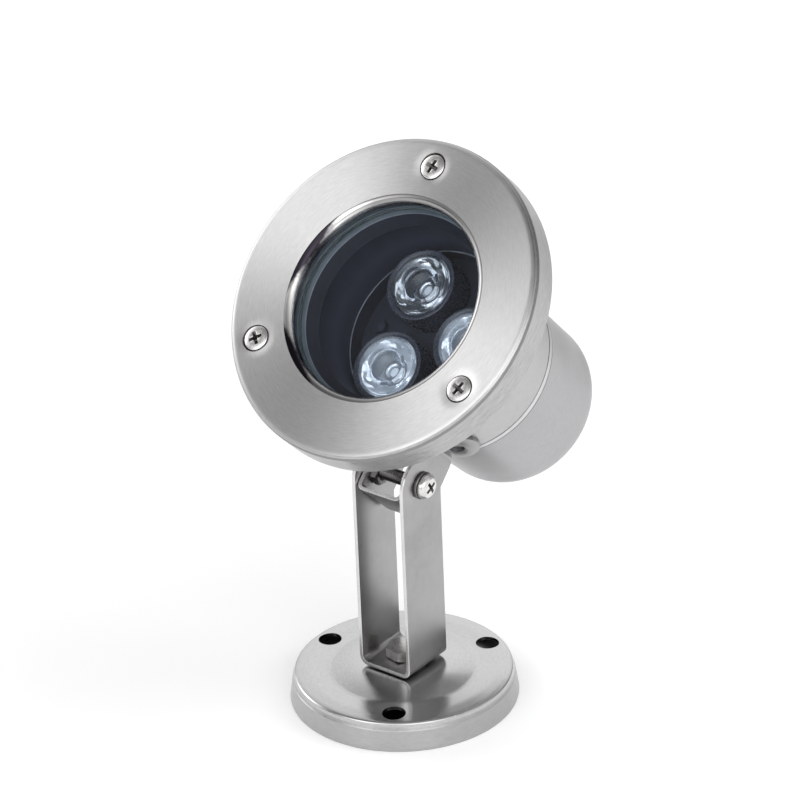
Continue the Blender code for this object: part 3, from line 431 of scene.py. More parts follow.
MATERIALS = {
    "ring": turned_steel("brushed_ring", (0.78, 0.775, 0.775), 0.37, anisotropy=0.95),
    "lip": lip_with_painted_reflections("lip_with_painted_reflections"),
    # The rim: the face's steel painted darker, as shade on the ring's side.
    "skirt": turned_steel("brushed_skirt_painted_shade", (0.58, 0.575, 0.575), 0.32, anisotropy=0.8, contrast=0.34),
    # Painted dark shade: in the sleeve's groove, along its end against the cup, in the bracket's foot holes
    # and under the feet's edges.
    "painted_dark_shade": screw_steel("painted_dark_shade_steel", (0.26, 0.26, 0.27), 0.35),
    # The strips' cut edges, painted brighter as a highlight along them.
    "edge": strip_steel("bright_edge_painted_highlight", (0.76, 0.755, 0.75), 0.26),
    "base": turned_steel("polished_base", (0.56, 0.56, 0.56), 0.20, grain=0.05, anisotropy=0.6),
    "housing": turned_steel("satin_housing", (0.56, 0.56, 0.565), 0.34, anisotropy=0.8),
    "cup": turned_steel("satin_cup", (0.50, 0.50, 0.508), 0.33, anisotropy=0.8),
    # The base's side: satin, and painted darker than the top as shade.
    "base_skirt": turned_steel("satin_base_skirt_painted_shade", (0.47, 0.47, 0.47), 0.32, anisotropy=0.6),
    # A thin dark line of painted shade along the ring's rolled edge.
    "edge_line_painted_shade": turned_steel("edge_line_painted_shade", (0.30, 0.30, 0.305), 0.30, anisotropy=0.6),
    "strip": strip_steel("satin_strip", (0.43, 0.425, 0.425), 0.34),
    "screw": screw_steel("bright_screw", (0.88, 0.87, 0.86), 0.24),
    "gland": turned_steel("gland_steel", (0.58, 0.58, 0.58), 0.30, anisotropy=0.5),
    "bolt": screw_steel("bolt_steel", (0.62, 0.61, 0.60), 0.30),
    # Dark steel for the washers, the pivot's thread and the inner nut, and painted shade on the walls of
    # recesses and holes cut with it.
    "dark_steel_and_painted_shade": screw_steel("dark_steel_and_painted_shade", (0.22, 0.215, 0.21), 0.32),
    "chamber": dark_chamber_wall("dark_chamber_wall"),
    "plate": moulded("black_plate", (0.040, 0.044, 0.070), 0.55, (0.050, 0.055, 0.085)),
    "holder": moulded("black_plastic", (0.060, 0.068, 0.095), 0.26, (0.080, 0.090, 0.125)),
    # A pale colour painted as a highlight on the plate ring's front edge and in a thin line inside the
    # sleeve's mouth.
    "pale_edge": moulded("pale_edge_painted_highlight", (0.26, 0.28, 0.33), 0.25, (0.34, 0.36, 0.42)),
    "seal": moulded("grey_seal", (0.13, 0.165, 0.19), 0.40, (0.18, 0.22, 0.24)),
    "black_rubber": moulded("black_rubber", (0.015, 0.015, 0.015), 0.60, (0.03, 0.03, 0.03)),
    "led": led_dome("led_dome"),
    "aluminium": turned_steel("turned_aluminium", (0.80, 0.81, 0.82), 0.35),
    "brass": screw_steel("brass", (0.80, 0.62, 0.32), 0.25),
    "green_board": moulded("green_board", (0.02, 0.16, 0.07), 0.40, (0.03, 0.22, 0.10)),
    "glass": clear_material("front_glass", (0.92, 0.96, 1.0), 0.0, 1.3),
    "lens": clear_material("clear_acrylic", (0.86, 0.92, 1.0), 0.0, 1.49, 0.01, 0.94),
    "hazy_lens_painted_reflection": clear_material("hazy_acrylic_painted_reflection", (0.86, 0.91, 0.98), 0.02, 1.49, 0.01, 0.91, 0.09),
}


# ---- meshes


def to_mesh(bm, smooth_angle=35.0):
    """A bmesh in millimetres as a mesh in metres that faces out, shaded smooth up to an angle."""
    bmesh.ops.scale(bm, vec=(MM, MM, MM), verts=bm.verts)
    bmesh.ops.recalc_face_normals(bm, faces=bm.faces)
    for face in bm.faces:
        face.smooth = True
    mesh = bpy.data.meshes.new("mesh")
    bm.to_mesh(mesh)
    bm.free()
    mesh.set_sharp_from_angle(angle=radians(smooth_angle))
    return mesh


def skin(bm, loops, closed):
    """Faces between each loop and the next, and from the last to the first on a closed profile."""
    pairs = list(zip(loops, loops[1:]))
    if closed:
        pairs.append((loops[-1], loops[0]))
    for first, second in pairs:
        count = max(len(first), len(second))
        for side in range(count):
            after = (side + 1) % count
            corners = [first[side % len(first)], first[after % len(first)]]
            corners += [second[after % len(second)], second[side % len(second)]]
            unique = list(dict.fromkeys(corners))
            if len(unique) > 2:
                bm.faces.new(unique)


def on_circle(radius, angle, centre=(0, 0)):
    return (centre[0] + radius * cos(angle), centre[1] + radius * sin(angle))


def circle(radius, height, sides, centre=(0, 0)):
    """Points round a circle, or the one point at its centre where the radius is 0."""
    angles = [2 * pi * side / sides for side in range(sides if radius else 1)]
    return [(*on_circle(radius, angle, centre), height) for angle in angles]


def turned(profile, sides=FINE, centres=((0, 0),), shape=None, smooth_angle=35.0):
    """A solid of revolution about Z from (radius, height) points. shape(x, y, z) may move each point."""
    bm = bmesh.new()
    on_axis = profile[0][0] == 0 and profile[-1][0] == 0
    for centre in centres:
        loops = []
        for radius, height in profile:
            points = circle(radius, height, sides, centre)
            loops.append([bm.verts.new(shape(*point) if shape else point) for point in points])
        skin(bm, loops, closed=not on_axis)
    return to_mesh(bm, smooth_angle)


def arc(centre, radius, start, end, steps):
    angles = [radians(start + (end - start) * step / steps) for step in range(steps + 1)]
    return [on_circle(radius, angle, centre) for angle in angles]


def line(start, end, steps, ease=lambda share: share):
    """Points from start to end, the end left out. ease bends the second coordinate's way between them."""
    points = []
    for step in range(steps):
        share = step / steps
        first = start[0] + (end[0] - start[0]) * share
        points.append((first, start[1] + (end[1] - start[1]) * ease(share)))
    return points


def s_curve(share):
    return share * share * (3 - 2 * share)


def tube_profile(inner, outer, low, high, edge=0.15):
    """A tube's section with small chamfers at its four edges."""
    points = [(inner, low + edge), (inner + edge, low), (outer - edge, low), (outer, low + edge)]
    points += [(outer, high - edge), (outer - edge, high), (inner + edge, high), (inner, high - edge)]
    return points


def disc_profile(radius, low, high):
    return [(0, low), (radius, low), (radius, high), (0, high)]


def around(radius, first_angle, count=3):
    """Evenly spaced points on a circle."""
    angles = [radians(first_angle + 360 * index / count) for index in range(count)]
    return [on_circle(radius, angle) for angle in angles]


def around_lamp(radius, first_angle):
    """The same in the lamp's frame, where +Y points down."""
    return [(x, -y) for x, y in around(radius, first_angle)]


FACE_SCREW_CENTRES = around_lamp(FACE_SCREW_CIRCLE, FACE_SCREW_FIRST_ANGLE)


def hexagon_outline(flat, edge, inward):
    """A nut's outline at its top or bottom edge, where a 30 degree cone cuts the corners back."""
    chamfer = 0.12
    points = []
    for side in range(HEX_SIDES):
        angle = 2 * pi * side / HEX_SIDES
        off_flat = (angle + pi / 6) % (pi / 3) - pi / 6
        reach = flat / cos(off_flat)
        lowered = max(0.0, reach - flat) * tan(radians(30)) + chamfer
        points.append((*on_circle(reach, angle), edge + inward * lowered))
    return points


def hexagonal(flats, low, high, bore=0.0, shank=None):
    """A hexagon nut along Z, or a bolt if it has a shank: its radius and the height of its end."""
    flat = flats / 2
    face = flat * 0.95
    head = [circle(face, low, HEX_SIDES), hexagon_outline(flat, low, 1)]
    head += [hexagon_outline(flat, high, -1), circle(face, high, HEX_SIDES)]
    if shank:
        radius, end = shank
        before = [circle(0, end, HEX_SIDES), circle(radius - 0.5, end, HEX_SIDES)]
        before += [circle(radius, height, HEX_SIDES) for height in (end + 0.5, low)]
        after = [circle(0, high, HEX_SIDES)]
    else:
        before = [circle(bore, low + 0.25, HEX_SIDES), circle(bore + 0.35, low, HEX_SIDES)]
        after = [circle(bore + 0.35, high, HEX_SIDES), circle(bore, high - 0.25, HEX_SIDES)]
    bm = bmesh.new()
    loops = [[bm.verts.new(point) for point in points] for points in before + head + after]
    skin(bm, loops, closed=not shank)
    return to_mesh(bm, 28.0)


def cross_recess(width, low, high):
    """Cutter for a cross-head recess: a plus shape that narrows as it goes down."""
    reach = 2.7
    half = width / 2
    fillet = half * 1.35
    outline = [(reach, -half), (reach, half), (fillet, half), (half, fillet), (half, reach), (-half, reach)]
    outline += [(-half, fillet), (-fillet, half)]
    outline += [(-x, -y) for x, y in outline]
    bm = bmesh.new()
    loops = []
    for height, scale in ((low, 0.45), (high, 1.0)):
        loops.append([bm.verts.new((x * scale, y * scale, height)) for x, y in outline])
    skin(bm, loops, closed=False)
    bm.faces.new(loops[0])
    bm.faces.new(loops[1])
    return to_mesh(bm, 20.0)


def threaded_shaft(radius, pitch, start, end):
    """A shaft along Z with a helical ridge."""
    bm = bmesh.new()
    depth = 0.54 * pitch
    steps = int((end - start) / (pitch / 6))
    loops = [[bm.verts.new((0, 0, start))]]
    for step in range(steps + 1):
        height = start + (end - start) * step / steps
        loop = []
        for side in range(THREAD_SIDES):
            angle = 2 * pi * side / THREAD_SIDES
            phase = ((height / pitch) - side / THREAD_SIDES) % 1.0
            out = radius - depth * abs(2 * phase - 1.0)
            loop.append(bm.verts.new((*on_circle(out, angle), height)))
        loops.append(loop)
    loops.append([bm.verts.new((0, 0, end))])
    skin(bm, loops, closed=False)
    return to_mesh(bm, 60.0)


# ---- folded strips


def fold_path(start, heading, moves, bend_step=5.0, straight_step=2.0):
    """Samples the centre line of a folded strip: (distance, x, y, heading in degrees) at each step.

    A move is (length,) for a straight run, or (degrees, radius) for a bend.
    """
    x, y = start
    distance = 0.0
    samples = [(distance, x, y, heading)]
    for move in moves:
        if len(move) == 1:
            steps = max(1, round(move[0] / straight_step))
            length, bend = move[0], 0.0
        else:
            steps = max(4, round(abs(move[0]) / bend_step))
            length, bend = radians(abs(move[0])) * move[1], move[0]
        half_bend = radians(bend / steps / 2)
        chord = length / steps * (sin(half_bend) / half_bend if bend else 1.0)
        for _ in range(steps):
            middle = radians(heading + bend / steps / 2)
            x, y = x + chord * cos(middle), y + chord * sin(middle)
            heading += bend / steps
            distance += length / steps
            samples.append((distance, x, y, heading))
    return samples


def with_end_samples(samples, radius):
    """Adds close samples over the strip's round ends."""
    least_gap = 0.02
    total = samples[-1][0]
    near = [radius * (1 - cos(radians(angle))) for angle in range(6, 91, 6)]
    wanted = sorted({*near, *(total - distance for distance in near)})
    added = []
    for before, after in zip(samples, samples[1:]):
        for distance in wanted:
            if before[0] + least_gap < distance < after[0] - least_gap:
                share = (distance - before[0]) / (after[0] - before[0])
                added.append(tuple(low + (high - low) * share for low, high in zip(before, after)))
    return sorted(samples + added)


def folded_strip(samples, thickness, width_at):
    """A strip of sheet along the samples in the XY plane, its width along Z given by the distance run."""
    bm = bmesh.new()
    loops = []
    for distance, x, y, heading in samples:
        side = radians(heading + 90)
        across = (cos(side) * thickness / 2, sin(side) * thickness / 2)
        half_width = width_at(distance) / 2
        corners = ((1, half_width), (1, -half_width), (-1, -half_width), (-1, half_width))
        loops.append([bm.verts.new((x + across[0] * sign, y + across[1] * sign, z)) for sign, z in corners])
    skin(bm, loops, closed=False)
    bm.faces.new(loops[0])
    bm.faces.new(loops[-1])
    return to_mesh(bm, 28.0)


def round_end_width(distance, radius, full_width):
    """The width of a strip with a round end, at this distance from the end."""
    least_half_width = 0.4
    if distance >= radius:
        return full_width
    half_width = sqrt(max(radius**2 - (radius - distance) ** 2, least_half_width**2))
    return full_width - 2 * radius + 2 * half_width


# ---- building blocks


def add_object(name, data, place=IN_ROW):
    """An object in the scene, and its data under the same name."""
    data.name = name
    obj = bpy.data.objects.new(name, data)
    bpy.context.scene.collection.objects.link(obj)
    obj.matrix_world = place
    return obj


def piece(name, mesh, look, node, place=IN_LAMP, cutters=(), bevel=0.0, replaces=True):
    """A shown piece that rides with a CAD node and replaces it. A painted mesh needs no look.

    Each cutter is (mesh, matrix), and takes its shape out of the piece before any bevel.
    """
    if not mesh.materials:
        mesh.materials.append(MATERIALS[look])
    obj = add_object(name, mesh, place)
    for index, (cutter_mesh, cutter_place) in enumerate(cutters):
        if not cutter_mesh.materials:
            cutter_mesh.materials.append(mesh.materials[0])
        cutter = add_object(f"{name}_cutter_{index}", cutter_mesh, cutter_place)
        settings = {"operation": "DIFFERENCE", "solver": "EXACT", "material_mode": "TRANSFER"}
        apply_modifier(obj, "BOOLEAN", **settings, object=cutter)
        bpy.data.objects.remove(cutter)
    if bevel:
        settings = {"width": bevel * MM, "segments": 2, "limit_method": "ANGLE"}
        apply_modifier(obj, "BEVEL", **settings, angle_limit=radians(32))
    obj.data.set_sharp_from_angle(angle=radians(30))
    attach(obj, BODIES[node])
    if replaces:
        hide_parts(node)
    return obj


def apply_modifier(obj, kind, **settings):
    """Adds a modifier and stores its result as the object's mesh."""
    modifier = obj.modifiers.new(kind.title(), kind)
    for key, value in settings.items():
        setattr(modifier, key, value)
    bpy.context.view_layer.update()
    graph = bpy.context.evaluated_depsgraph_get()
    mesh = bpy.data.meshes.new_from_object(obj.evaluated_get(graph))
    old = obj.data
    obj.modifiers.clear()
    obj.data = mesh
    mesh.name = old.name


def paint(mesh, looks, look_of):
    """Gives each face one of the looks, which look_of picks from the face's middle in mm and its normal."""
    for look in looks:
        mesh.materials.append(MATERIALS[look])
    for face in mesh.polygons:
        face.material_index = looks.index(look_of(face.center / MM, face.normal))


def paint_below(mesh, height, look, below):
    """Gives the faces one look, and those below a height in mm another."""
    paint(mesh, (look, below), lambda middle, _: below if middle.z < height else look)


def repaint(obj, look, chosen):
    """Gives another look to the faces that chosen picks."""
    mesh = obj.data
    mesh.materials.append(MATERIALS[look])
    for face in mesh.polygons:
        if chosen(face):
            face.material_index = len(mesh.materials) - 1


def is_sheared(face, width_axis):
    """Whether a strip's face is a cut edge, which faces along the strip's width."""
    return face.material_index == 0 and abs(getattr(face.normal, width_axis)) > 0.35


# ---- base


def dome_profile(drop, steps=24):
    """The raised middle of the base, from its edge to its flat top, lowered by the drop."""
    points = []
    for step in range(steps + 1):
        share = step / steps
        reach = DOME_RADIUS + (DOME_FLAT_RADIUS - DOME_RADIUS) * share
        points.append((reach, BASE_HEIGHT + DOME_RISE * sin(pi / 2 * share) - drop))
    return points


def make_base():
    """Drawn cup with its mouth down, a domed middle and three mounting holes."""
    top = BASE_HEIGHT
    shoulder = 1.0
    hub = BASE_SHOULDER_RADIUS + 0.1 - shoulder
    skirt_end = (BASE_SHOULDER_RADIUS + 0.7, 7.2)
    outside = [(BASE_RADIUS - 0.5, 0.0), (BASE_RADIUS - 0.1, 0.15), (BASE_RADIUS, 0.5)]
    outside += line((BASE_RADIUS, 0.6), skirt_end, 8)
    outside += line(skirt_end, (BASE_SHOULDER_RADIUS + 0.2, BASE_SKIRT_HEIGHT), 6, s_curve)
    outside += arc((hub, top - 0.35 - shoulder), shoulder, 4, 78, 10)
    outside += line((hub - 0.4, top - 0.26), (hub - 4.0, top), 4)
    outside += line((hub - 4.0, top), (DOME_RADIUS + 0.3, top), 5)
    outside += dome_profile(0.0)
    centre_hole = BOLT_RADIUS + FIT
    outside += line((DOME_FLAT_RADIUS - 1.0, DOME_TOP), (centre_hole, DOME_TOP), 4)
    inside = [(centre_hole, DOME_TOP), (centre_hole, DOME_TOP - BASE_WALL)]
    inside += reversed(dome_profile(BASE_WALL, 8))
    inside += [(hub, top - BASE_WALL), (BASE_SHOULDER_RADIUS - BASE_WALL, top - BASE_WALL - 0.8)]
    inside += [(BASE_RADIUS - BASE_WALL, 0.3)]
    hole = disc_profile(MOUNT_HOLE_RADIUS, top / 2, top * 1.5)
    holes = turned(hole, FINE, around(MOUNT_CIRCLE_RADIUS, MOUNT_FIRST_ANGLE))
    mesh = turned(outside + inside, ROUND, smooth_angle=20.0)
    # The skirt is painted darker than the top, as shade on the base's side.
    paint_below(mesh, BASE_SKIRT_HEIGHT, "base", "base_skirt")
    piece("base", mesh, None, "base_plate", IN_ROW, [(holes, IN_ROW)])


def make_swivel():
    """Hexagon bolt through the yoke's foot and the base, with its washers and nut."""
    hole = BOLT_RADIUS + FIT
    seat = DOME_TOP + FIT
    washer_high = seat + FOOT_WASHER_THICKNESS
    # The washer is dark steel, and its darkness also paints the shadow gap under the yoke.
    foot_washer = turned(tube_profile(hole, FOOT_WASHER_RADIUS, seat, washer_high, 0.1))
    piece("washer_under_yoke", foot_washer, "dark_steel_and_painted_shade", "foot_washer", IN_ROW)
    head_low = seat + FOOT_WASHER_THICKNESS + YOKE_THICKNESS + 2 * FIT
    head_high = head_low + BOLT_HEAD_HEIGHT
    turned_place = turn(BOLT_TURN)
    bolt = hexagonal(BOLT_HEAD_FLATS, head_low, head_high, shank=(BOLT_RADIUS, BOLT_END))
    piece("hex_bolt", bolt, "bolt", "swivel_bolt", turned_place)
    high = DOME_TOP - BASE_WALL - FIT
    low = high - BASE_LOCK_WASHER_THICKNESS
    washer = turned(tube_profile(hole, BASE_LOCK_WASHER_RADIUS, low, high))
    piece("lock_washer_under_base", washer, "screw", "swivel_lock_washer", IN_ROW)
    nut = hexagonal(BOLT_HEAD_FLATS, low - FIT - BASE_NUT_THICKNESS, low - FIT, bore=hole)
    piece("nut_under_base", nut, "screw", "swivel_nut", turned_place)


# ---- yoke


def make_yoke():
    """Strip folded to a U, its ends round about the pivot."""
    half = (YOKE_WIDTH - YOKE_THICKNESS) / 2
    bend = YOKE_BEND_RADIUS - YOKE_THICKNESS / 2
    low = DOME_TOP + FOOT_WASHER_THICKNESS + 2 * FIT + YOKE_THICKNESS / 2
    end_radius = STRIP_WIDTH / 2
    top = PIVOT_HEIGHT + end_radius
    arm = (top - low - bend,)
    samples = fold_path((-half, top), -90, [arm, (90, bend), (2 * (half - bend),), (90, bend), arm])
    total = samples[-1][0]
    samples = with_end_samples(samples, end_radius)

    def width_at(distance):
        return round_end_width(min(distance, total - distance), end_radius, STRIP_WIDTH)

    mesh = folded_strip(samples, YOKE_THICKNESS, width_at)
    mesh.transform(turn(90, "X"))
    foot_hole = turned(disc_profile(BOLT_RADIUS + FIT, low - 3, low + 3))
    pivot_hole = turned(disc_profile(PIVOT_BORE_RADIUS, -15, 15))
    cutters = [(foot_hole, IN_ROW), (pivot_hole, AT_PIVOT)]
    yoke = piece("yoke", mesh, "strip", "yoke_bracket", IN_ROW, cutters, bevel=0.22)
    # Painted highlight: the cut edges take the brighter steel.
    repaint(yoke, "edge", lambda face: is_sheared(face, "y"))


def make_pivot_screw():
    """Pan-head cross screw along X, with its washer. The head is at +X."""
    low = YOKE_WIDTH / 2 + FIT
    high = low + PIVOT_WASHER_THICKNESS
    # The washer is dark steel, and its darkness also paints the shadow under the screw's head.
    washer = turned(tube_profile(PIVOT_BORE_RADIUS, PIVOT_WASHER_RADIUS, low, high, 0.25))
    piece("pivot_washer", washer, "dark_steel_and_painted_shade", "pivot_lock_washer", AT_PIVOT)
    seat = high + FIT
    top = seat + PIVOT_HEAD_HEIGHT
    rim = PIVOT_HEAD_RADIUS
    crown = 2.0
    head = [(0, seat), (rim - 0.3, seat), (rim, seat + 0.3), (rim, seat + 0.7)]
    head += arc((rim - crown, seat + 0.6), crown, 0, 80, 8)[1:]
    head += [(0, top)]
    recess = cross_recess(1.25, seat + 0.6, top + 0.6)
    # The recess walls are dark: painted shade.
    recess.materials.append(MATERIALS["dark_steel_and_painted_shade"])
    cutters = [(recess, AT_PIVOT @ turn(PIVOT_RECESS_TURN))]
    piece("pivot_screw_head", turned(head), "screw", "pivot_screw", AT_PIVOT, cutters, bevel=0.07)
    tip = -YOKE_WIDTH / 2 - FIT - PIVOT_NUT_THICKNESS - PIVOT_PAST_NUT
    shaft = threaded_shaft(PIVOT_RADIUS, PIVOT_PITCH, tip, seat + 0.2)
    piece("pivot_thread", shaft, "dark_steel_and_painted_shade", "pivot_screw", AT_PIVOT, replaces=False)


def make_pivot_nuts():
    """The nut outside the arm at -X and the thin one inside the bracket's ear."""
    high = -YOKE_WIDTH / 2 - FIT
    nut = hexagonal(PIVOT_NUT_FLATS, high - PIVOT_NUT_THICKNESS, high, bore=PIVOT_BORE_RADIUS)
    piece("pivot_hex_nut", nut, "screw", "pivot_nut", AT_PIVOT)
    low = -BRACKET_EAR_X + BRACKET_THICKNESS / 2 + FIT
    jam = hexagonal(PIVOT_NUT_FLATS, low, low + JAM_NUT_THICKNESS, bore=PIVOT_BORE_RADIUS)
    piece("pivot_inner_nut", jam, "dark_steel_and_painted_shade", "pivot_jam_nut", AT_PIVOT)


# ---- lamp


def dimpled(x, y, z):
    """Sinks the ring's face a little round each screw."""
    if z > 3 or hypot(x, y) < OPENING_RADIUS + 1:
        return (x, y, z)
    near = min(hypot(x - cx, y - cy) for cx, cy in FACE_SCREW_CENTRES)
    return (x, y, z + DIMPLE_DEPTH * max(0.0, 1 - (near / DIMPLE_RADIUS) ** 2) ** 2)


def ring_look(middle, _):
    """The ring is polished round the opening and brushed on the face and the rim. The rim is painted darker
    as shade on the ring's side, and a thin dark line of painted shade runs along the rolled edge.
    """
    radius = middle.xy.length
    if radius < OPENING_RADIUS + 2.3:
        return "lip"
    if RING_RADIUS - 0.4 < radius < RING_RADIUS - 0.05 and middle.z < RING_EDGE_RADIUS:
        return "edge_line_painted_shade"
    return "skirt" if radius > RING_RADIUS - 1.2 else "ring"


def make_face_ring():
    """Pressed ring with a rolled lip round the glass, a dished face, screw dimples and a deep rim."""
    lip, edge, wall, rim, bore = LIP_RADIUS, RING_EDGE_RADIUS, RING_WALL, RING_RADIUS, OPENING_RADIUS
    lip_centre = (bore + lip, RING_DISH + lip)
    middle = ((bore + lip + rim - edge) / 2, RING_DISH * 0.5)
    outside = [(bore + 0.1, LIP_DEPTH)] + arc(lip_centre, lip, 180, 270, 14)
    outside += line((lip_centre[0], RING_DISH), middle, 14)[1:]
    outside += line(middle, (rim - edge, 0.0), 14)
    outside += arc((rim - edge, edge), edge, 270, 360, 12)
    outside += line((rim, edge + 0.6), (rim, RING_DEPTH - 0.5), 5)
    outside += [(rim, RING_DEPTH - 0.3), (rim - 0.3, RING_DEPTH)]
    inside = [(rim - wall + 0.2, RING_DEPTH), (rim - wall, RING_DEPTH - 0.2)]
    inside += arc((rim - edge, edge), edge - wall, 360, 270, 4)
    inside += [(middle[0], middle[1] + wall)]
    inside += arc(lip_centre, lip - wall, 270, 180, 4)
    inside += [(bore + wall, LIP_DEPTH)]
    head = FACE_SCREW_HEAD_RADIUS + 0.35
    countersink = [(0, -2), (head + 0.3, -2), (head + 0.3, 0.3), (head, 0.75), (head, 1.4)]
    countersink += [(2.1, 1.4 + head - 2.1), (2.1, 6), (0, 6)]
    holes = turned(countersink, FINE, FACE_SCREW_CENTRES)
    # The countersinks' walls are dark: painted shade in the gap round each head.
    holes.materials.append(MATERIALS["dark_steel_and_painted_shade"])
    mesh = turned(outside + inside, RING_SIDES, shape=dimpled)
    paint(mesh, ("ring", "lip", "skirt", "edge_line_painted_shade"), ring_look)
    piece("ring", mesh, None, "face_ring", cutters=[(holes, IN_LAMP)])


def make_face_screws():
    """Three countersunk cross screws through the ring, each with a nut behind the housing's flange."""
    rim, radius, end = FACE_SCREW_HEAD_RADIUS, FACE_SCREW_RADIUS, FACE_SCREW_END
    top = 0.22
    profile = [(0, top - 0.1), (rim * 0.6, top - 0.05), (rim - 0.8, top + 0.06), (rim - 0.2, top + 0.22)]
    profile += [(rim, top + 0.4), (radius, top + 0.4 + rim - radius)]
    profile += [(radius, end - 0.3), (radius - 0.4, end), (0, end)]
    nut_low = FLANGE_FRONT + FLANGE_WALL + FIT
    nut_high = nut_low + RING_NUT_THICKNESS
    for number, ((x, y), angle) in enumerate(zip(FACE_SCREW_CENTRES, FACE_SCREW_TURNS), start=1):
        place = IN_LAMP @ at(x, y)
        recess = cross_recess(1.3, 2.3, -0.4)
        # The recess walls are dark: painted shade.
        recess.materials.append(MATERIALS["dark_steel_and_painted_shade"])
        cutters = [(recess, place @ turn(angle))]
        node = f"face_screw_{number}"
        piece(f"cross_screw_{number}", turned(profile), "screw", node, place, cutters, bevel=0.06)
        nut = hexagonal(RING_NUT_FLATS, nut_low, nut_high, bore=radius + FIT)
        piece(f"ring_nut_{number}", nut, "bolt", f"flange_nut_{number}", place)


def make_glass():
    """Bevelled glass between two flat seals."""
    front = GLASS_FRONT
    back = front + GLASS_THICKNESS
    bevel = 0.6
    profile = [(0, front), (GLASS_RADIUS - bevel, front), (GLASS_RADIUS, front + bevel)]
    profile += [(GLASS_RADIUS, back - bevel), (GLASS_RADIUS - bevel, back), (0, back)]
    piece("glass", turned(profile, ROUND), "glass", "front_glass")
    rear = tube_profile(REAR_SEAL_BORE, GLASS_RADIUS, back + FIT, back + FIT + SEAL_THICKNESS)
    piece("seal_behind_glass", turned(rear, ROUND), "seal", "rear_seal")
    bore = OPENING_RADIUS + RING_WALL + 1.0
    ahead = tube_profile(bore, GLASS_RADIUS - 0.3, RING_DISH + RING_WALL + FIT, front - FIT)
    piece("seal_before_glass", turned(ahead, ROUND), "seal", "front_seal")


def sleeve_look(middle, normal):
    """Inside: a grey bead at the mouth, a thin pale line of painted highlight, then the dark blue wall.
    Outside: satin, with painted dark shade in the groove and along the end where the cup meets it, and the
    band between them painted brighter as a highlight.
    """
    if normal.xy.dot(middle.xy) < 0:
        if middle.z < FLANGE_FRONT + 1.9:
            return "seal"
        # Painted highlight: a thin pale line inside the mouth.
        return "pale_edge" if middle.z < FLANGE_FRONT + 2.2 else "chamber"
    # Painted shade in the groove and at the end; the band between them takes the brighter ring steel as a
    # painted highlight.
    if middle.z > SLEEVE_END_SHADE_START or SLEEVE_GROOVE < middle.z < SLEEVE_GROOVE + SLEEVE_GROOVE_WIDTH:
        return "painted_dark_shade"
    return "ring" if middle.z > SLEEVE_GROOVE else "housing"


def make_sleeve():
    """Front of the housing: a flange for the ring's screws and a tube with a fine groove near its end."""
    low, mouth, radius, bore = FLANGE_FRONT, MOUTH_RADIUS, SLEEVE_RADIUS, SLEEVE_BORE
    flange, groove = FLANGE_RADIUS, SLEEVE_GROOVE
    high = low + FLANGE_WALL
    neck_end = high + 5.0
    in_groove = radius - SLEEVE_GROOVE_DEPTH
    corner = 0.6
    outer = [(flange - 0.2, low), (flange, low + 0.2), (flange, high - 0.2), (flange - 0.2, high)]
    outer += line((flange - 2, high), (mouth + 3.2, high), 6)
    outer += line((mouth + 2.6, high), (radius, neck_end), 10, s_curve)
    outer += line((radius, neck_end), (radius, groove), 6)
    outer += [(radius, groove), (in_groove, groove + 0.2), (in_groove, groove + 0.4)]
    outer += [(radius, groove + SLEEVE_GROOVE_WIDTH), (radius, SLEEVE_END_SHADE_START)]
    outer += arc((radius - corner, SLEEVE_END - corner), corner, 0, 90, 6)
    inner = [(bore + 0.1, SLEEVE_END), (bore, SLEEVE_END - 0.2)]
    inner += line((bore, SLEEVE_END - 4), (bore, low + 6), 4)
    inner += [(bore, low + 6), (mouth - 0.9, low + 2.2), (mouth - 0.7, low + 1.9)]
    inner += [(mouth, low + 1), (mouth, low)]
    screw_hole = disc_profile(FACE_SCREW_RADIUS + FIT, low - 2, high + 2)
    holes = turned(screw_hole, FINE, FACE_SCREW_CENTRES)
    mesh = turned(outer + inner, ROUND)
    paint(mesh, ("housing", "chamber", "painted_dark_shade", "seal", "pale_edge", "ring"), sleeve_look)
    piece("sleeve", mesh, None, "housing_sleeve", cutters=[(holes, IN_LAMP)])


def make_cup():
    """Rear of the housing: a drawn cup that fits in the sleeve, with a hole for the gland."""
    inserted = SLEEVE_BORE - FIT
    radius = CUP_RADIUS - FIT
    corner = CUP_CORNER_RADIUS
    hub = CUP_END_RADIUS - corner
    start = SLEEVE_END - CUP_OVERLAP
    hole = GLAND_THREAD_RADIUS + FIT
    outside = [(inserted, start), (inserted, SLEEVE_END - 0.2)]
    outside += [(inserted - 0.15, SLEEVE_END + 0.15), (radius, SLEEVE_END + 0.4)]
    outside += line((radius, SLEEVE_END + 1.0), (CUP_END_RADIUS, CUP_END - corner), 12)
    outside += arc((hub, CUP_END - corner), corner, 0, 90, 20)
    outside += line((hub - 1, CUP_END), (hole, CUP_END), 5)
    outside += [(hole, CUP_END)]
    inside = [(hole, CUP_END - CUP_WALL)]
    inside += arc((hub, CUP_END - corner), corner - CUP_WALL, 90, 0, 8)
    inside += [(radius - CUP_WALL, SLEEVE_END), (inserted - CUP_WALL, start)]
    piece("cup", turned(outside + inside, ROUND), "cup", "rear_cup")


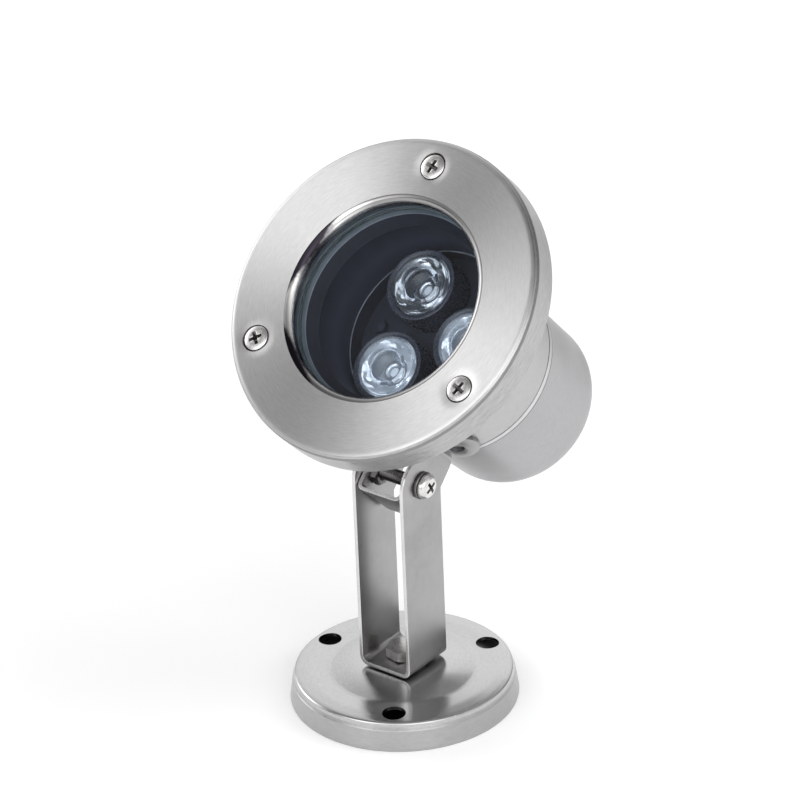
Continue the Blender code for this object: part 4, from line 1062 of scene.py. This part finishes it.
def make_head_bracket():
    """Strip folded to a U round the pivot, its two round feet lying on the sleeve."""
    foot_radius = SLEEVE_RADIUS + FIT + BRACKET_THICKNESS / 2
    bend = BRACKET_BEND_RADIUS
    corner_x = BRACKET_EAR_X + bend
    corner_y = sqrt((foot_radius + bend) ** 2 - corner_x**2)
    meet = degrees(atan2(corner_x, corner_y))
    web_y = AXIS_ABOVE_PIVOT + BRACKET_WEB_BELOW_PIVOT
    ear = (web_y - bend - corner_y,)
    web = (2 * (BRACKET_EAR_X - bend),)
    swing = 90 - meet
    start_angle = radians(meet + FOOT_ARC)
    start = (-foot_radius * sin(start_angle), foot_radius * cos(start_angle))
    moves = [(-FOOT_ARC, foot_radius), (swing, bend), ear, (-90, bend), web, (-90, bend), ear]
    moves += [(swing, bend), (-FOOT_ARC, foot_radius)]
    samples = fold_path(start, meet + FOOT_ARC, moves, bend_step=3.0, straight_step=1.5)
    end_radius = FOOT_WIDTH / 2
    total = samples[-1][0]
    samples = with_end_samples(samples, end_radius)
    foot_length = radians(FOOT_ARC) * foot_radius

    def width_at(distance):
        from_end = min(distance, total - distance)
        share = min(max((from_end - foot_length) / BRACKET_TAPER, 0), 1)
        wider = (BRACKET_WIDTH - FOOT_WIDTH) * s_curve(share)
        return round_end_width(from_end, end_radius, FOOT_WIDTH) + wider

    def on_sleeve(face):
        return face.center.y < corner_y * MM

    mesh = folded_strip(samples, BRACKET_THICKNESS, width_at)
    place = IN_LAMP @ at(0, 0, BRACKET_DEPTH)
    hole_angle = meet + FOOT_ARC - degrees(end_radius / foot_radius)
    cutters = []
    for side in (-1, 1):
        hole = turned(disc_profile(FOOT_HOLE_RADIUS, foot_radius - 2, foot_radius + 2))
        # The foot holes' walls are dark: painted shade in the holes.
        hole.materials.append(MATERIALS["painted_dark_shade"])
        aim = Euler((radians(-90), 0, radians(-side * hole_angle))).to_matrix().to_4x4()
        cutters.append((hole, place @ aim))
    ear_hole = turned(disc_profile(PIVOT_BORE_RADIUS, -12, 12))
    cutters.append((ear_hole, AT_PIVOT))
    bracket = piece("inner_bracket", mesh, "strip", "head_bracket", place, cutters, bevel=0.2)
    # The feet's cut edges on the sleeve are dark, a painted shadow of the gap under them; the other cut edges
    # are painted bright as a highlight.
    repaint(bracket, "edge", lambda face: is_sheared(face, "z") and not on_sleeve(face))
    repaint(bracket, "painted_dark_shade", lambda face: is_sheared(face, "z") and on_sleeve(face))


# ---- optics and gland


def lens_profile(front, floor):
    """A clear collimator: a front face with a central well and two raised rings, and a bowl-shaped back."""
    edge = LENS_RADIUS
    well = [(radius, front + 2.2 - 0.5 * (radius / 3.4) ** 2) for radius in (0, 0.8, 1.6, 2.4, 3.2, 4.0)]
    face = [(4.6, 1.2), (5.1, 0.35), (5.5, 0.15), (6.0, 0.25), (6.4, 0.5), (8.8, 0.5), (9.2, 0.3)]
    face += [(9.7, 0.12), (edge - 0.5, 0.12), (edge - 0.12, 0.22), (edge, 0.5), (edge, 1.2)]
    face += [(edge - 0.6, 1.4), (9.4, 2.9), (8.2, 5.2), (6.8, 7.6)]
    back = [(LENS_BASE_RADIUS, 1.8), (3.5, 1.8), (3.3, 3.2), (3.0, 4.2), (2.0, 4.8), (1.0, 5.1), (0, 5.2)]
    points = well + [(radius, front + depth) for radius, depth in face]
    return points + [(radius, floor - height) for radius, height in back]


def holder_profile(front, floor):
    """A cup with a rounded rim and a hole in its floor for the LED."""
    rim = HOLDER_RADIUS
    bore = rim - HOLDER_WALL
    hole = LENS_BASE_RADIUS + 0.6
    points = [(rim - 0.6, front), (rim - 0.15, front + 0.15), (rim, front + 0.6), (rim, floor - 0.1)]
    points += [(rim - 0.1, floor), (hole, floor), (hole, floor - 1.2), (bore, front + 1.6)]
    points += [(bore, front + 0.5), (bore + 0.9, front + 0.05)]
    return points


def led_profile(floor):
    """A round package with a low dome."""
    top = floor - LED_HEIGHT
    rise = 1.5
    points = [(0, top)]
    for angle in (0.3, 0.6, 0.9, 1.2, 1.5):
        points.append((2.5 * sin(angle), top + rise * (1 - cos(angle))))
    points += [(2.7, top + 1.6), (LED_RADIUS, top + 1.6), (LED_RADIUS, floor), (0, floor)]
    return points


def make_optics():
    """Three clear collimators in black cups over their LEDs. The lower two are hazier than the top one, with
    a painted reflection glowing on them.
    """
    front, floor = OPTIC_FRONT, OPTIC_FLOOR
    centres = around_lamp(OPTIC_CIRCLE_RADIUS, OPTIC_FIRST_ANGLE)
    clearness = ("lens", "hazy_lens_painted_reflection", "hazy_lens_painted_reflection")
    for number, ((x, y), look) in enumerate(zip(centres, clearness), start=1):
        place = IN_LAMP @ at(x, y)
        holder = turned(holder_profile(front, floor), OPTIC_SIDES)
        piece(f"lens_cup_{number}", holder, "holder", f"lens_holder_{number}", place)
        lens = turned(lens_profile(front, floor), OPTIC_SIDES)
        piece(f"collimator_{number}", lens, look, f"lens_{number}", place)
        led = turned(led_profile(floor))
        piece(f"led_dome_{number}", led, "led", f"led_{number}", place)


def make_plate_ring():
    """Thin ring that stands round the lens plate, its front edge painted paler as a highlight."""
    bore = PLATE_RING_RADIUS - PLATE_RING_WALL
    mesh = turned(tube_profile(bore, PLATE_RING_RADIUS, PLATE_RING_FRONT, OPTIC_FLOOR, 0.1), ROUND)
    paint_below(mesh, PLATE_RING_FRONT + 0.3, "plate", "pale_edge")
    piece("plate_ring", mesh, None, "spacer_ring")


def make_gland():
    """The cord's watertight inlet: a washer, a body with a collar, a seal and a cap nut."""
    thread, bore, collar_radius = GLAND_THREAD_RADIUS, GLAND_BORE_RADIUS, GLAND_COLLAR_RADIUS
    outside = CUP_END + FIT
    collar = outside + GLAND_WASHER_THICKNESS + FIT
    neck = collar + GLAND_COLLAR_THICKNESS
    washer = tube_profile(thread + FIT, collar_radius, outside, outside + GLAND_WASHER_THICKNESS)
    piece("inlet_washer", turned(washer), "black_rubber", "gland_washer")
    tail = CUP_END - CUP_WALL - FIT - 4
    body = [(bore, tail), (thread, tail), (thread, collar), (collar_radius - 0.2, collar)]
    body += [(collar_radius, collar + 0.2), (collar_radius, neck - 0.2), (collar_radius - 0.2, neck)]
    body += [(thread, neck), (thread, neck + 5), (GLAND_SEAL_RADIUS + FIT, neck + 5)]
    body += [(GLAND_SEAL_RADIUS + FIT, neck + 0.6), (bore, neck + 0.6)]
    piece("inlet_body", turned(body), "gland", "gland_body")
    seal = tube_profile(bore, GLAND_SEAL_RADIUS, neck + 0.7, neck + 7)
    piece("inlet_seal", turned(seal), "black_rubber", "gland_seal")
    cap = hexagonal(GLAND_FLATS, neck + FIT, neck + 8.5, bore=thread + FIT)
    piece("inlet_cap", cap, "gland", "gland_cap_nut")


def paint_hidden_nodes():
    """Materials for the CAD nodes that stay: the electronics inside the housing."""
    looks = {
        "plate": ("led_board", "board_screw"),
        "brass": ("driver_pillar",),
        "holder": ("driver_coil", "driver_capacitor"),
        "aluminium": ("heat_sink",),
        "green_board": ("driver_board",),
        "gland": ("gland_lock_nut",),
    }
    for name, node in frame["nodes"].items():
        for look, starts in looks.items():
            if name.startswith(starts):
                node.data.materials.clear()
                node.data.materials.append(MATERIALS[look])


# ---- stage


def make_camera():
    data = bpy.data.cameras.new("camera")
    data.lens = CAMERA_LENS
    data.clip_end = CAMERA_FAR_CLIP
    place = Matrix.Translation(Vector(CAMERA_PLACE) * MM)
    place = place @ turn(CAMERA_HEADING) @ turn(90 - CAMERA_PITCH, "X") @ turn(CAMERA_ROLL)
    bpy.context.scene.camera = add_object("camera", data, place)


def make_floor():
    """A pale floor with a faint glow of its own, and a painted shadow under the base, where it turns dark and
    the glow stops.
    """
    mat = new_material("floor_paint")
    cloud = mat.noise(3.0, 2.0)
    *_, radius = mat.from_axis()
    # Painted shadow: the floor is dark and has no glow within the base's rim.
    painted_shadow_radius = BASE_RADIUS - 2.5
    outside_painted_shadow = mat.spread(radius, 0.0, 1.0, painted_shadow_radius * MM, (painted_shadow_radius + 1.0) * MM)
    pale = mat.tint(cloud, (0.93, 0.93, 0.935), (0.95, 0.95, 0.95))
    mat.set(Base_Color=mat.tint(outside_painted_shadow, (0.02, 0.02, 0.02), pale), Roughness=0.9, Specular_IOR_Level=0.1)
    glow = mat.math("MULTIPLY", outside_painted_shadow, FLOOR_GLOW)
    mat.set(Emission_Color=(1.0, 1.0, 1.0, 1.0), Emission_Strength=glow)
    bm = bmesh.new()
    bmesh.ops.create_grid(bm, x_segments=1, y_segments=1, size=FLOOR_SIZE)
    floor = add_object("floor", to_mesh(bm))
    floor.data.materials.append(mat.owner)


def make_world():
    """Soft glows on an even grey, with no hard-edged lamp."""
    world = Nodes(bpy.data.worlds.new("studio"), "Background")
    direction = world.add("TexCoord").outputs["Generated"]
    total = STUDIO_BASE
    for aim, strength, narrowness in GLOWS:
        aim = Vector(aim).normalized()
        towards = world.add("VectorMath", {"operation": "DOT_PRODUCT"}, i0=direction, i1=aim)
        facing = world.math("MAXIMUM", towards.outputs["Value"], 0.0)
        glow = world.math("MULTIPLY", world.math("POWER", facing, narrowness), strength)
        total = world.math("ADD", glow, total)
    world.set(Color=(1.0, 1.0, 1.0, 1.0), Strength=total)
    bpy.context.scene.world = world.owner
    bpy.context.scene.view_settings.view_transform = "Standard"


def make_softbox():
    """A square softbox overhead, which the steel doesn't mirror. Sizes are in metres and power in watts."""
    data = bpy.data.lights.new("top_softbox", "AREA")
    data.size = 1.5
    data.energy = 14
    place = Vector((1.3, 0.9, 1.6))
    aim = Vector((0, 0, 0.1))
    facing = (aim - place).to_track_quat("-Z", "Y").to_matrix().to_4x4()
    softbox = add_object("top_softbox", data, Matrix.Translation(place) @ facing)
    softbox.visible_glossy = False


make_camera()
make_floor()
make_world()
make_softbox()
make_base()
make_swivel()
make_yoke()
make_pivot_screw()
make_pivot_nuts()
make_face_ring()
make_face_screws()
make_glass()
make_sleeve()
make_cup()
make_head_bracket()
make_optics()
make_plate_ring()
make_gland()
paint_hidden_nodes()
